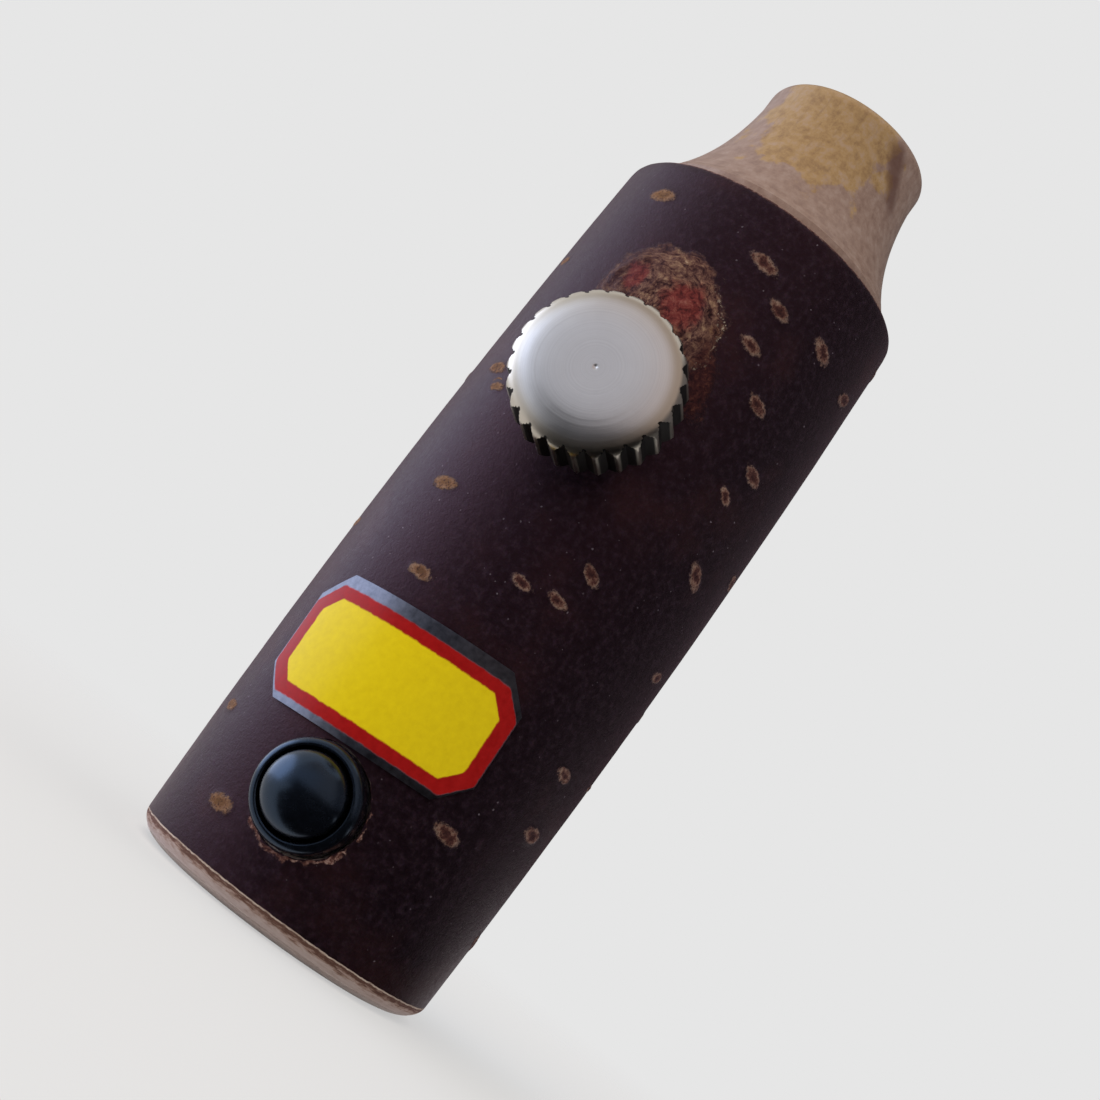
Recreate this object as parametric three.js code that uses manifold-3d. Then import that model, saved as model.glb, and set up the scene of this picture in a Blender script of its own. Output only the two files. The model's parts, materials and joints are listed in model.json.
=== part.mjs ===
// Roe deer call: a bark-covered branch barrel with a turned mouthpiece, a beating reed on a tone
// board inside, a knurled tuning screw that presses on the reed, and a sprung tone button.
// Millimetres, +Z up. The call stands on its open end, with the knob facing -Y.
// Distances called "out" are measured from the barrel's axis towards the knob.

import * as THREE from 'three';
import { mergeVertices } from 'three/addons/utils/BufferGeometryUtils.js';
import Module from 'manifold-3d';

const wasm = await Module();
wasm.setup();

// Fits
const fixedGap = 0.1; // between pieces that are pressed or glued together
const runningGap = 0.3; // between pieces that move on each other
const cutMargin = 2; // how far a cutting tool runs past the face it cuts

// Barrel
const barkLength = 61;
const barkFootRadius = 12.5;
const barkBellyRadius = 13.1;
const barkTopRadius = 12.4;
const barkThickness = 0.6;
const barkEdgeRound = 0.5;
const rimHeight = 1.7;
const rimRound = 2.7;
const boreDiameter = 14;
const boreChamfer = 0.8;

// Mouthpiece
const mouthLength = 13.3;
const shoulderInset = 1.5;
const shoulderLip = 0.9;
const neckDiameter = 14.4;
const tipLength = 2.5;
const tipRound = 1.2;
const coveEase = 0.6;
const coveDrop = 3.9;
const blowDiameter = 7;
const blowChamfer = 0.6;
const tenonLength = 9;
const tenonChamfer = 0.6;
const corkWidth = 4;
const corkDepth = 1;

// Reed
const stopperFoot = 17;
const stopperLength = 10;
const boardLength = 24.5;
const boardFaceOut = 1.2;
const boardInset = 1.4;
const boardSlope = 1.6;
const exitDiameter = 4.4;
const exitWall = 1;
const troughWidth = 3.2;
const troughEnd = 3;
const tongueWidth = 5;
const tongueThickness = 0.35;
const tongueEnd = 1.5;
const tongueCorner = 1.4;
const slotDepth = 6;
const slotWall = 1.2;
const wedgeStandout = 1.6;
const wedgeTaper = 0.5;

// Tuning screw
const knobHeight = 42.7;
const knobDiameter = 12.3;
const knobLift = 2.35;
const knobSkirt = 2.6;
const knobCrown = 1.75;
const crownFlat = 1.9;
const crownShoulder = 4;
const crownFall = 0.4;
const hubDiameter = 6.4;
const hubLength = 1.2;
const teethCount = 26;
const toothDepth = 0.55;
const toothLand = 0.3;
const shankDiameter = 3.9;
const shankSocket = 3;
const shankChamfer = 0.4;
const insertDiameter = 8;
const insertRecess = 0.6;
const frictionWire = 1.2;
const shoeDiameter = 5.8;
const shoeLength = 3;
const shoeNose = 0.6;
const shoeFloor = 1.1;

// Tone button
const buttonHeight = 9.15;
const bushFlangeDiameter = 7.8;
const bushFlangeProud = 1.65;
const bushFlangeRound = 0.5;
const bushFlangeSeat = 0.9;
const bushDiameter = 7;
const bushReach = 1.4;
const bushFloor = 0.7;
const capDiameter = 5.9;
const capProud = 1.8;
const capSkirt = 2.9;
const stemDiameter = 2;
const stemSocket = 2.4;
const damperDiameter = 7.2;
const damperThickness = 0.9;
const padThickness = 1.4;
const springDiameter = 3.9;
const springWire = 0.4;
const springTurns = 3;

// Label
const labelWidth = 18.1;
const labelHeight = 10.2;
const labelCorner = 2.6;
const labelThickness = 0.2;
const labelClearance = 0.3;
const labelShift = -0.5;

// How finely round shapes are cut
const barrelSides = 48;
const smallSides = 24;
const barkSteps = 8;
const arcSteps = 4;
const coveSteps = 8;

// Sizes that follow from the ones above
const barkTop = rimHeight + barkLength;
const boreRadius = boreDiameter / 2;
const tenonRadius = boreRadius - fixedGap;
const corkFloorRadius = tenonRadius - corkDepth;
const stopperTop = stopperFoot + stopperLength;
const boardTop = stopperTop + boardLength;
const boardRadius = tenonRadius - boardInset;
const exitRadius = exitDiameter / 2;
const exitOut = boardFaceOut - exitWall - exitRadius;
const tongueOut = boardFaceOut + runningGap;
const tongueBack = tongueOut + tongueThickness;
const slotWidth = tongueWidth + 2 * runningGap;
const slotFoot = stopperTop - slotDepth;
const slotCeiling = Math.sqrt(tenonRadius ** 2 - (slotWidth / 2) ** 2) - slotWall;
const shankRadius = shankDiameter / 2;
const shankHoleRadius = shankRadius + runningGap;
const shoeNoseOut = tongueBack + runningGap;
const shoeSocketOut = shoeNoseOut + shoeFloor;
const shankTipOut = shoeSocketOut + runningGap;
const knobRadius = knobDiameter / 2;
const knobFootOut = barkRadius(knobHeight) + knobLift;
const knobRimOut = knobFootOut + knobSkirt;
const knobTopOut = knobRimOut + knobCrown;
const shankEndOut = knobFootOut - hubLength + shankSocket;
const insertRadius = insertDiameter / 2;
const insertTopOut = barkRadius(knobHeight) - insertRecess;
const insertFootOut = boreRadius - runningGap;
const frictionSeatRadius = shankRadius + fixedGap + frictionWire + fixedGap;
const frictionSeatDepth = frictionWire + 2 * fixedGap;
const flangeRadius = bushFlangeDiameter / 2;
const flangeTopOut = barkRadius(buttonHeight) + bushFlangeProud;
const flangeFootOut = barkRadius(buttonHeight) - barkThickness - bushFlangeSeat;
const bushRadius = bushDiameter / 2;
const bushFootOut = boreRadius - bushReach;
const bushFloorOut = bushFootOut + bushFloor;
const capRadius = capDiameter / 2;
const capBoreRadius = capRadius + runningGap;
const capTopOut = flangeTopOut + capProud;
const capFootOut = flangeTopOut - capSkirt;
const stemRadius = stemDiameter / 2;
const stemEndOut = capFootOut + stemSocket;
const damperTopOut = bushFootOut - runningGap;
const damperFootOut = damperTopOut - damperThickness;
const padFootOut = damperFootOut - fixedGap - padThickness;
const labelFoot = buttonHeight + flangeRadius + labelClearance;

// Radius of the bark at a height: a parabola through its foot, belly and top.
function barkRadius(z) {
  const u = THREE.MathUtils.clamp((z - rimHeight) / barkLength, 0, 1);
  return (
    barkFootRadius * (1 - u) * (1 - 2 * u) +
    barkBellyRadius * 4 * u * (1 - u) +
    barkTopRadius * u * (2 * u - 1)
  );
}

// Heights at which the barrel's curve is followed, from the bark's foot to a given top.
function barkHeights(top) {
  return Array.from({ length: barkSteps + 1 }, (_, i) => rimHeight + ((top - rimHeight) * i) / barkSteps);
}

// Points of an elliptical quarter arc (or part of one) around a centre.
function arc(centreX, centreY, radiusX, radiusY, from, to, steps = arcSteps) {
  return Array.from({ length: steps + 1 }, (_, i) => {
    const angle = from + ((to - from) * i) / steps;
    return [centreX + radiusX * Math.cos(angle), centreY + radiusY * Math.sin(angle)];
  });
}

// Joins points that coincide, and drops the faces that this leaves without area.
function weld(geometry) {
  geometry.deleteAttribute('normal');
  geometry.deleteAttribute('uv');
  const merged = mergeVertices(geometry, 1e-4);
  const corners = merged.index.array;
  const kept = [];
  for (let i = 0; i < corners.length; i += 3) {
    const [a, b, c] = [corners[i], corners[i + 1], corners[i + 2]];
    if (a !== b && b !== c && c !== a) kept.push(a, b, c);
  }
  merged.setIndex(kept);
  return merged;
}

function toSolid(geometry) {
  const welded = weld(geometry);
  return new wasm.Manifold(
    new wasm.Mesh({
      numProp: 3,
      vertProperties: new Float32Array(welded.attributes.position.array),
      triVerts: new Uint32Array(welded.index.array),
    }),
  );
}

function toGeometry(solid) {
  const mesh = solid.getMesh();
  const geometry = new THREE.BufferGeometry();
  geometry.setAttribute('position', new THREE.BufferAttribute(mesh.vertProperties, 3));
  geometry.setIndex(new THREE.BufferAttribute(mesh.triVerts, 1));
  return geometry;
}

// A closed outline of [radius, height] points, turned about the lathe's own axis.
function turned(outline, sides) {
  const points = outline.map(([r, h]) => new THREE.Vector2(Math.max(r, 0), h));
  if (THREE.ShapeUtils.area(points) < 0) points.reverse();
  points.push(points[0].clone());
  return new THREE.LatheGeometry(points, sides);
}

// Turned about the barrel's axis: heights run along +Z.
function upright(outline, sides = barrelSides) {
  return toSolid(turned(outline, sides).rotateX(Math.PI / 2));
}

// Turned about a cross axis: heights run out of the barrel, along -Y.
function outward(outline, sides = smallSides) {
  return toSolid(turned(outline, sides).rotateX(Math.PI));
}

function outwardRod(radius, from, to, sides = smallSides) {
  return outward([[0, from], [radius, from], [radius, to], [0, to]], sides);
}

// A flat outline of [x, z] points, thickened outwards between two distances from the axis.
function frontPlate(shape, from, to) {
  const settings = { depth: to - from, bevelEnabled: false, curveSegments: arcSteps };
  const geometry = new THREE.ExtrudeGeometry(shape, settings);
  return toSolid(geometry.rotateX(Math.PI / 2).translate(0, -from, 0));
}

// An outline of [out, z] points, thickened across the barrel to a width.
function sidePlate(outline, width) {
  const shape = new THREE.Shape(outline.map(([out, z]) => new THREE.Vector2(-out, z)));
  const geometry = new THREE.ExtrudeGeometry(shape, { depth: width, bevelEnabled: false });
  geometry.translate(0, 0, -width / 2);
  geometry.rotateX(Math.PI / 2);
  return toSolid(geometry.rotateZ(Math.PI / 2));
}

function outlineBox(outLow, outHigh, low, high) {
  return [[outLow, low], [outHigh, low], [outHigh, high], [outLow, high]];
}

const finishes = {
  bark: { color: 0x3a2a31, roughness: 0.55, metalness: 0 },
  paleWood: { color: 0xa88a72, roughness: 0.6, metalness: 0 },
  turnedWood: { color: 0xa98b66, roughness: 0.45, metalness: 0 },
  hardWood: { color: 0x7a5433, roughness: 0.5, metalness: 0 },
  cork: { color: 0xb98a5c, roughness: 0.9, metalness: 0 },
  aluminium: { color: 0xb9b7b6, roughness: 0.3, metalness: 1 },
  steel: { color: 0x8f9194, roughness: 0.35, metalness: 1 },
  brass: { color: 0xc29a4e, roughness: 0.35, metalness: 1 },
  rubber: { color: 0x1b1b1c, roughness: 0.8, metalness: 0 },
  blackPlastic: { color: 0x14161c, roughness: 0.2, metalness: 0 },
  felt: { color: 0x3c4a3a, roughness: 0.95, metalness: 0 },
  labelFoil: { color: 0xd9b90f, roughness: 0.4, metalness: 0 },
};

function piece(name, solid, finish) {
  const geometry = toGeometry(solid);
  geometry.computeVertexNormals();
  const mesh = new THREE.Mesh(geometry, new THREE.MeshStandardMaterial(finishes[finish]));
  mesh.name = name;
  return mesh;
}

// Barrel: the foot is rounded over, so that the cut runs through the bark into the wood.
const rimFlatRadius = barkFootRadius - rimRound;

function rimArc(outerRadius, innerRadius) {
  const angleAt = (radius) => -Math.acos(THREE.MathUtils.clamp((radius - rimFlatRadius) / rimRound, 0, 1));
  return arc(rimFlatRadius, rimHeight, rimRound, rimHeight, angleAt(innerRadius), angleAt(outerRadius));
}

function makeBark() {
  const edgeFoot = barkTop - barkEdgeRound;
  const edgeCentre = barkRadius(barkTop) - barkEdgeRound;
  const outer = barkHeights(edgeFoot).map((z) => [barkRadius(z), z]);
  const edge = arc(edgeCentre, edgeFoot, barkEdgeRound, barkEdgeRound, 0, Math.PI / 2).slice(1);
  const inner = barkHeights(barkTop).map((z) => [barkRadius(z) - barkThickness, z]);
  const rim = rimArc(barkFootRadius, barkFootRadius - barkThickness).slice(0, -1);
  const shell = upright([...rim, ...outer, ...edge, ...inner.reverse()]);
  const screwHole = outwardRod(insertRadius + runningGap, 0, knobTopOut).translate([0, 0, knobHeight]);
  const buttonHole = outwardRod(flangeRadius + runningGap, 0, capTopOut).translate([0, 0, buttonHeight]);
  return shell.subtract(screwHole).subtract(buttonHole);
}

function makeBarrelWood() {
  const skin = barkThickness + fixedGap;
  const outer = barkHeights(barkTop).map((z) => [barkRadius(z) - skin, z]);
  const rim = rimArc(barkFootRadius - skin, rimFlatRadius);
  const core = upright([
    [boreRadius + boreChamfer, 0],
    ...rim,
    ...outer,
    [boreRadius, barkTop],
    [boreRadius, boreChamfer],
  ]);
  const screwHole = outwardRod(insertRadius + fixedGap, 0, knobTopOut).translate([0, 0, knobHeight]);
  const bushHole = outwardRod(bushRadius + fixedGap, 0, capTopOut).translate([0, 0, buttonHeight]);
  const spotFace = outwardRod(flangeRadius + fixedGap, flangeFootOut - fixedGap, capTopOut);
  return core.subtract(screwHole).subtract(bushHole).subtract(spotFace.translate([0, 0, buttonHeight]));
}

// Mouthpiece: a tenon in the barrel's bore, a shoulder on its end, then a cove to the lips.
const shoulderFoot = barkTop + fixedGap;
const tenonFoot = shoulderFoot - tenonLength;
const tenonGroove = tenonFoot + (tenonLength - corkWidth) / 2;

function corkGroove(foot) {
  return [
    [tenonRadius, foot],
    [corkFloorRadius, foot],
    [corkFloorRadius, foot + corkWidth],
    [tenonRadius, foot + corkWidth],
  ];
}

function makeMouthpiece() {
  const shoulderRadius = barkTopRadius - shoulderInset;
  const neckRadius = neckDiameter / 2;
  const top = shoulderFoot + mouthLength;
  const coveFoot = shoulderFoot + shoulderLip;
  const cove = new THREE.QuadraticBezierCurve(
    new THREE.Vector2(shoulderRadius, coveFoot),
    new THREE.Vector2(neckRadius + coveEase, coveFoot + coveDrop),
    new THREE.Vector2(neckRadius, top - tipLength),
  );
  const blowRadius = blowDiameter / 2;
  return upright([
    [blowRadius, tenonFoot],
    [tenonRadius - tenonChamfer, tenonFoot],
    [tenonRadius, tenonFoot + tenonChamfer],
    ...corkGroove(tenonGroove),
    [tenonRadius, shoulderFoot],
    [shoulderRadius, shoulderFoot],
    ...cove.getPoints(coveSteps).map((p) => [p.x, p.y]),
    ...arc(neckRadius - tipRound, top - tipRound, tipRound, tipRound, 0, Math.PI / 2),
    [blowRadius + blowChamfer, top],
    [blowRadius, top - blowChamfer],
  ]);
}

function makeCorkRing(foot) {
  const inner = corkFloorRadius + fixedGap / 2;
  const outer = boreRadius - fixedGap / 2;
  const low = foot + fixedGap;
  const high = foot + corkWidth - fixedGap;
  return upright([[inner, low], [outer, low], [outer, high], [inner, high]]);
}

// Reed: a stopper with an exit bore carries the half-round tone board. The tongue's root and its
// cork wedge sit in a slot at the stopper's top, and the board's face slopes away under the tip.
const stopperGroove = stopperFoot + (stopperLength - slotDepth - corkWidth) / 2 + fixedGap;

function makeReedBody() {
  const stopper = upright([
    [0, stopperFoot],
    [tenonRadius - tenonChamfer, stopperFoot],
    [tenonRadius, stopperFoot + tenonChamfer],
    [tenonRadius, stopperTop],
    [0, stopperTop],
  ]);
  const groove = upright([
    [corkFloorRadius, stopperGroove],
    [tenonRadius + cutMargin, stopperGroove],
    [tenonRadius + cutMargin, stopperGroove + corkWidth],
    [corkFloorRadius, stopperGroove + corkWidth],
  ]);
  const stopperMiddle = stopperFoot + stopperLength / 2;
  const board = upright([
    [0, stopperMiddle],
    [boardRadius, stopperMiddle],
    [boardRadius, boardTop],
    [0, boardTop],
  ]);
  const aboveBoard = sidePlate(
    [
      [boardFaceOut, stopperTop],
      [tenonRadius + cutMargin, stopperTop],
      [tenonRadius + cutMargin, boardTop + cutMargin],
      [boardFaceOut - boardSlope, boardTop + cutMargin],
    ],
    boreDiameter,
  );
  const slot = sidePlate(outlineBox(boardFaceOut, slotCeiling, slotFoot, stopperTop + cutMargin), slotWidth);
  const troughFloor = exitOut - exitRadius / 2;
  const troughTop = boardTop - troughEnd;
  const trough = sidePlate(outlineBox(troughFloor, tenonRadius, stopperTop, troughTop), troughWidth);
  const exitLength = stopperLength + 2 * cutMargin;
  const exitRod = new THREE.CylinderGeometry(exitRadius, exitRadius, exitLength, smallSides);
  const exit = toSolid(exitRod.rotateX(Math.PI / 2));
  const exitFoot = stopperFoot - cutMargin;
  return stopper
    .add(board)
    .subtract(groove)
    .subtract(aboveBoard)
    .subtract(slot)
    .subtract(trough)
    .subtract(exit.translate([0, -exitOut, exitFoot + exitLength / 2]));
}

function makeReedTongue() {
  const half = tongueWidth / 2;
  const foot = slotFoot + slotDepth / 2;
  const tip = boardTop - tongueEnd;
  const shape = new THREE.Shape();
  shape.moveTo(-half, foot);
  shape.lineTo(half, foot);
  shape.lineTo(half, tip - tongueCorner);
  shape.absarc(half - tongueCorner, tip - tongueCorner, tongueCorner, 0, Math.PI / 2);
  shape.absarc(tongueCorner - half, tip - tongueCorner, tongueCorner, Math.PI / 2, Math.PI);
  shape.closePath();
  return frontPlate(shape, tongueOut, tongueBack);
}

function makeReedWedge() {
  const low = tongueBack + runningGap;
  const high = slotCeiling - fixedGap;
  const top = stopperTop + wedgeStandout;
  const outline = [
    [low, slotFoot + fixedGap],
    [high - wedgeTaper, slotFoot + fixedGap],
    [high, stopperTop],
    [high, top - wedgeTaper],
    [high - wedgeTaper, top],
    [low, top],
  ];
  return sidePlate(outline, slotWidth - 2 * fixedGap);
}

// Tuning screw: a brass bush in the barrel's wall, a rubber ring that keeps the setting, the
// threaded shank with its knurled knob, and a shoe that carries the push to the reed.
function makeScrewInsert() {
  return outward([
    [shankHoleRadius, insertFootOut],
    [insertRadius, insertFootOut],
    [insertRadius, insertTopOut],
    [frictionSeatRadius, insertTopOut],
    [frictionSeatRadius, insertTopOut - frictionSeatDepth],
    [shankHoleRadius, insertTopOut - frictionSeatDepth],
  ]);
}

function makeFrictionRing() {
  const wire = frictionWire / 2;
  const centre = shankRadius + fixedGap + wire;
  const height = insertTopOut - frictionSeatDepth / 2;
  return outward(arc(centre, height, wire, wire, 0, 2 * Math.PI, 2 * arcSteps).slice(0, -1));
}

function makeShank() {
  return outward([
    [0, shankTipOut],
    [shankRadius - shankChamfer, shankTipOut],
    [shankRadius, shankTipOut + shankChamfer],
    [shankRadius, shankEndOut],
    [0, shankEndOut],
  ]);
}

function makeKnob() {
  const hubRadius = hubDiameter / 2;
  const hubFootOut = knobFootOut - hubLength;
  const socketRadius = shankRadius + fixedGap;
  const socketEnd = shankEndOut + fixedGap;
  const chamfer = new THREE.QuadraticBezierCurve(
    new THREE.Vector2(crownShoulder, knobTopOut - crownFall),
    new THREE.Vector2((crownShoulder + knobRadius) / 2, knobTopOut - crownFall - toothDepth / 2),
    new THREE.Vector2(knobRadius, knobRimOut),
  );
  const dome = outward(
    [
      [socketRadius, hubFootOut],
      [hubRadius, hubFootOut],
      [hubRadius, knobFootOut],
      [knobRadius + toothDepth, knobFootOut],
      [knobRadius + toothDepth, knobRimOut - toothDepth],
      ...chamfer.getPoints(arcSteps).reverse().map((p) => [p.x, p.y]),
      [crownFlat, knobTopOut],
      [0, knobTopOut],
      [0, socketEnd],
      [socketRadius, socketEnd],
    ],
    2 * teethCount,
  );
  const pitch = (2 * Math.PI) / teethCount;
  const landHalf = toothLand / knobDiameter;
  const polar = (radius, angle) => new THREE.Vector2(radius * Math.cos(angle), radius * Math.sin(angle));
  const outline = Array.from({ length: teethCount }, (_, i) => [
    polar(knobRadius, i * pitch - landHalf),
    polar(knobRadius, i * pitch + landHalf),
    polar(knobRadius - toothDepth, (i + 0.5) * pitch),
  ]).flat();
  const knurl = frontPlate(new THREE.Shape(outline), hubFootOut - cutMargin, knobTopOut + cutMargin);
  return dome.intersect(knurl);
}

function makeShoe() {
  const radius = shoeDiameter / 2;
  const top = shoeNoseOut + shoeLength;
  return outward([
    ...arc(0, shoeNoseOut + shoeNose, radius, shoeNose, -Math.PI / 2, 0),
    [radius, top],
    [shankHoleRadius, top],
    [shankHoleRadius, shoeSocketOut],
    [0, shoeSocketOut],
  ]);
}

// Tone button: a bush with a rim, a domed cap on a stem, a return spring between the cap and the
// bush's floor, and a felt-faced damper in the bore. The damper's plate stops the stem at rest.
function makeBush() {
  const stemHoleRadius = stemRadius + runningGap;
  const roundCentre = flangeRadius - bushFlangeRound;
  return outward([
    [stemHoleRadius, bushFootOut],
    [bushRadius, bushFootOut],
    [bushRadius, flangeFootOut],
    [flangeRadius, flangeFootOut],
    ...arc(roundCentre, flangeTopOut - bushFlangeRound, bushFlangeRound, bushFlangeRound, 0, Math.PI / 2),
    [capBoreRadius, flangeTopOut],
    [capBoreRadius, bushFloorOut],
    [stemHoleRadius, bushFloorOut],
  ]);
}

function makeCap() {
  const socketRadius = stemRadius + fixedGap;
  const socketEnd = stemEndOut + fixedGap;
  return outward([
    [socketRadius, capFootOut],
    [capRadius, capFootOut],
    ...arc(0, flangeTopOut, capRadius, capProud, 0, Math.PI / 2, 2 * arcSteps),
    [0, socketEnd],
    [socketRadius, socketEnd],
  ]);
}

function makeDamperPlate() {
  const radius = damperDiameter / 2;
  const holeRadius = stemRadius + fixedGap;
  return outward([
    [holeRadius, damperFootOut],
    [radius, damperFootOut],
    [radius, damperTopOut],
    [holeRadius, damperTopOut],
  ]);
}

function makeDamperPad() {
  return outwardRod(damperDiameter / 2, padFootOut, damperFootOut - fixedGap);
}

// One unbroken wire: straight for a wire's width at each seat, with an even helix between.
function makeSpring() {
  const radius = springDiameter / 2;
  const stepsPerTurn = 8;
  const steps = springTurns * stepsPerTurn;
  const seats = [bushFloorOut + runningGap, capFootOut - runningGap];
  const lead = 2 * springWire;
  const rise = seats[1] - seats[0] - 2 * lead;
  const at = (angle, out) => new THREE.Vector3(radius * Math.cos(angle), -out, radius * Math.sin(angle));
  const turnedOn = (i) => (2 * Math.PI * i) / stepsPerTurn;
  const onHelix = (i) => at(turnedOn(i), seats[0] + lead + (rise * i) / steps);
  const points = [
    at(0, seats[0]),
    at(0, seats[0] + springWire),
    ...Array.from({ length: steps - 1 }, (_, i) => onHelix(i + 1)),
    at(turnedOn(steps), seats[1] - springWire),
    at(turnedOn(steps), seats[1]),
  ];
  const path = new THREE.CatmullRomCurve3(points, false, 'centripetal');
  path.arcLengthDivisions = 20 * steps;
  const section = new THREE.Shape(
    Array.from({ length: 5 }, (_, i) => {
      const angle = (2 * Math.PI * i) / 5;
      return new THREE.Vector2((springWire / 2) * Math.cos(angle), (springWire / 2) * Math.sin(angle));
    }),
  );
  const samples = path.getSpacedPoints(10 * steps);
  const apart = Math.round((Math.PI * radius * samples.length) / path.getLength());
  let leastGap = Infinity;
  for (let i = 0; i < samples.length; i += 1) {
    for (let k = i + apart; k < samples.length; k += 1) {
      leastGap = Math.min(leastGap, samples[i].distanceTo(samples[k]) - springWire);
    }
  }
  console.log(`button_spring: least gap between its turns ${leastGap.toFixed(2)} mm`);
  const settings = { steps: steps + stepsPerTurn, extrudePath: path, bevelEnabled: false };
  return toSolid(new THREE.ExtrudeGeometry(section, settings));
}

// Label: a thin foil that follows the bark, with its corners cut off.
function makeLabel() {
  const top = labelFoot + labelHeight;
  const middle = (labelFoot + top) / 2;
  const heights = [labelFoot - cutMargin, labelFoot, middle, top, top + cutMargin];
  const under = heights.map((z) => [barkRadius(z) + fixedGap, z]);
  const over = heights.map((z) => [barkRadius(z) + fixedGap + labelThickness, z]);
  const sheet = upright([...over, ...under.reverse()]);
  const radius = barkRadius(middle);
  const across = (along) => radius * Math.sin((along + labelShift) / radius);
  const half = labelWidth / 2;
  const corners = [
    [half, labelFoot + labelCorner],
    [half, top - labelCorner],
    [half - labelCorner, top],
    [labelCorner - half, top],
    [-half, top - labelCorner],
    [-half, labelFoot + labelCorner],
    [labelCorner - half, labelFoot],
    [half - labelCorner, labelFoot],
  ];
  const shape = new THREE.Shape(corners.map(([along, z]) => new THREE.Vector2(across(along), z)));
  return sheet.intersect(frontPlate(shape, 0, barkBellyRadius + cutMargin));
}

// Assembly: the barrel's axis is set back so that the knob and the barrel's back are equally far
// from the origin, which lies at the foot.
const barkBackOut = Math.max(...barkHeights(barkTop - barkEdgeRound).map(barkRadius));
const axisBack = (knobTopOut - barkBackOut) / 2;

const call = new THREE.Group();
call.position.set(0, axisBack, 0);
call.add(
  piece('barrel_wood', makeBarrelWood(), 'paleWood'),
  piece('barrel_bark', makeBark(), 'bark'),
  piece('mouthpiece', makeMouthpiece(), 'turnedWood'),
  piece('mouthpiece_cork', makeCorkRing(tenonGroove), 'cork'),
  piece('reed_body', makeReedBody(), 'hardWood'),
  piece('reed_cork', makeCorkRing(stopperGroove), 'cork'),
  piece('reed_wedge', makeReedWedge(), 'cork'),
  piece('reed_tongue', makeReedTongue(), 'brass'),
  piece('label', makeLabel(), 'labelFoil'),
);

const screwLine = new THREE.Group();
screwLine.position.z = knobHeight;
screwLine.add(
  piece('screw_insert', makeScrewInsert(), 'brass'),
  piece('friction_ring', makeFrictionRing(), 'rubber'),
  piece('tuning_shank', makeShank(), 'steel'),
  piece('tuning_knob', makeKnob(), 'aluminium'),
  piece('pressure_shoe', makeShoe(), 'brass'),
);

const buttonLine = new THREE.Group();
buttonLine.position.z = buttonHeight;
buttonLine.add(
  piece('button_bush', makeBush(), 'blackPlastic'),
  piece('button_cap', makeCap(), 'blackPlastic'),
  piece('button_stem', outwardRod(stemRadius, damperFootOut, stemEndOut), 'brass'),
  piece('button_spring', makeSpring(), 'steel'),
  piece('damper_plate', makeDamperPlate(), 'brass'),
  piece('damper_pad', makeDamperPad(), 'felt'),
);

call.add(screwLine, buttonLine);
const roeDeerCall = new THREE.Group();
roeDeerCall.add(call);

export default roeDeerCall;
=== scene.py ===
import json
import math
import random
from functools import partial

import bmesh
import bpy
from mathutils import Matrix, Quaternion, Vector, noise


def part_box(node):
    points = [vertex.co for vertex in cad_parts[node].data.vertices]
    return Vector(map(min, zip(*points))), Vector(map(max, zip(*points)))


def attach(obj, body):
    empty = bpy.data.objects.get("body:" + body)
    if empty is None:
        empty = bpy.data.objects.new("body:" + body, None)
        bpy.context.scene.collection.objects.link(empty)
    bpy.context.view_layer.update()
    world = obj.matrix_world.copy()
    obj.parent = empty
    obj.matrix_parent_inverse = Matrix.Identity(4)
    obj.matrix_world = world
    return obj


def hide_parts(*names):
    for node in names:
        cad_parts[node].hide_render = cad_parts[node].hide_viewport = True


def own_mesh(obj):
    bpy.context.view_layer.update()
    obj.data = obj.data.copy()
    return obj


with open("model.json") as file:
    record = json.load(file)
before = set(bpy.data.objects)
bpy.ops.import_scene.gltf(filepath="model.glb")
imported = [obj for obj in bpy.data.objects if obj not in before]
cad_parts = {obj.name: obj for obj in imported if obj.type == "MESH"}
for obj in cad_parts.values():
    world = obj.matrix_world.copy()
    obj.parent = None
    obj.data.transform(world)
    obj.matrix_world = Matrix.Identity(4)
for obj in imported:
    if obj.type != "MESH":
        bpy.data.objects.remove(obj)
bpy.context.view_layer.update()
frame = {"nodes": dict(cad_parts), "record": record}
mm = 0.001
record = frame["record"]
bodyOf = {node: body for body, nodes in record["behaviour"]["bodies"].items() for node in nodes}

# lines that everything is turned about: the barrel's axis, and the screw's and button's cross axes
mouthLow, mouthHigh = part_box("mouthpiece")
knobLow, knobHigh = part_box("tuning_knob")
capLow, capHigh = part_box("button_cap")
axisY = (mouthLow.y + mouthHigh.y) / 2
barrelAxis = Vector((0, axisY, 0))
screwAxis = Vector((0, axisY, (knobLow.z + knobHigh.z) / 2))
buttonAxis = Vector((0, axisY, (capLow.z + capHigh.z) / 2))
upwards = Vector((0, 0, 1))
outwards = Vector((0, -1, 0))
print("frame loaded:", len(frame["nodes"]), "nodes")


def linear(hexColour):
    channels = [int(hexColour[i:i + 2], 16) / 255 for i in (1, 3, 5)]
    return tuple(c / 12.92 if c <= 0.04045 else ((c + 0.055) / 1.055) ** 2.4 for c in channels) + (1,)


# a list fills a node's open inputs in order, a dictionary names them; a node stands for its first open output
def setInputs(node, inputs):
    if isinstance(inputs, dict):
        pairs = [(node.inputs[name], value) for name, value in inputs.items()]
    else:
        pairs = zip([socket for socket in node.inputs if socket.enabled], inputs)
    for socket, value in pairs:
        if isinstance(value, bpy.types.Node):
            value = next(output for output in value.outputs if output.enabled)
        if isinstance(value, bpy.types.NodeSocket):
            node.id_data.links.new(value, socket)
        else:
            socket.default_value = value


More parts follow.
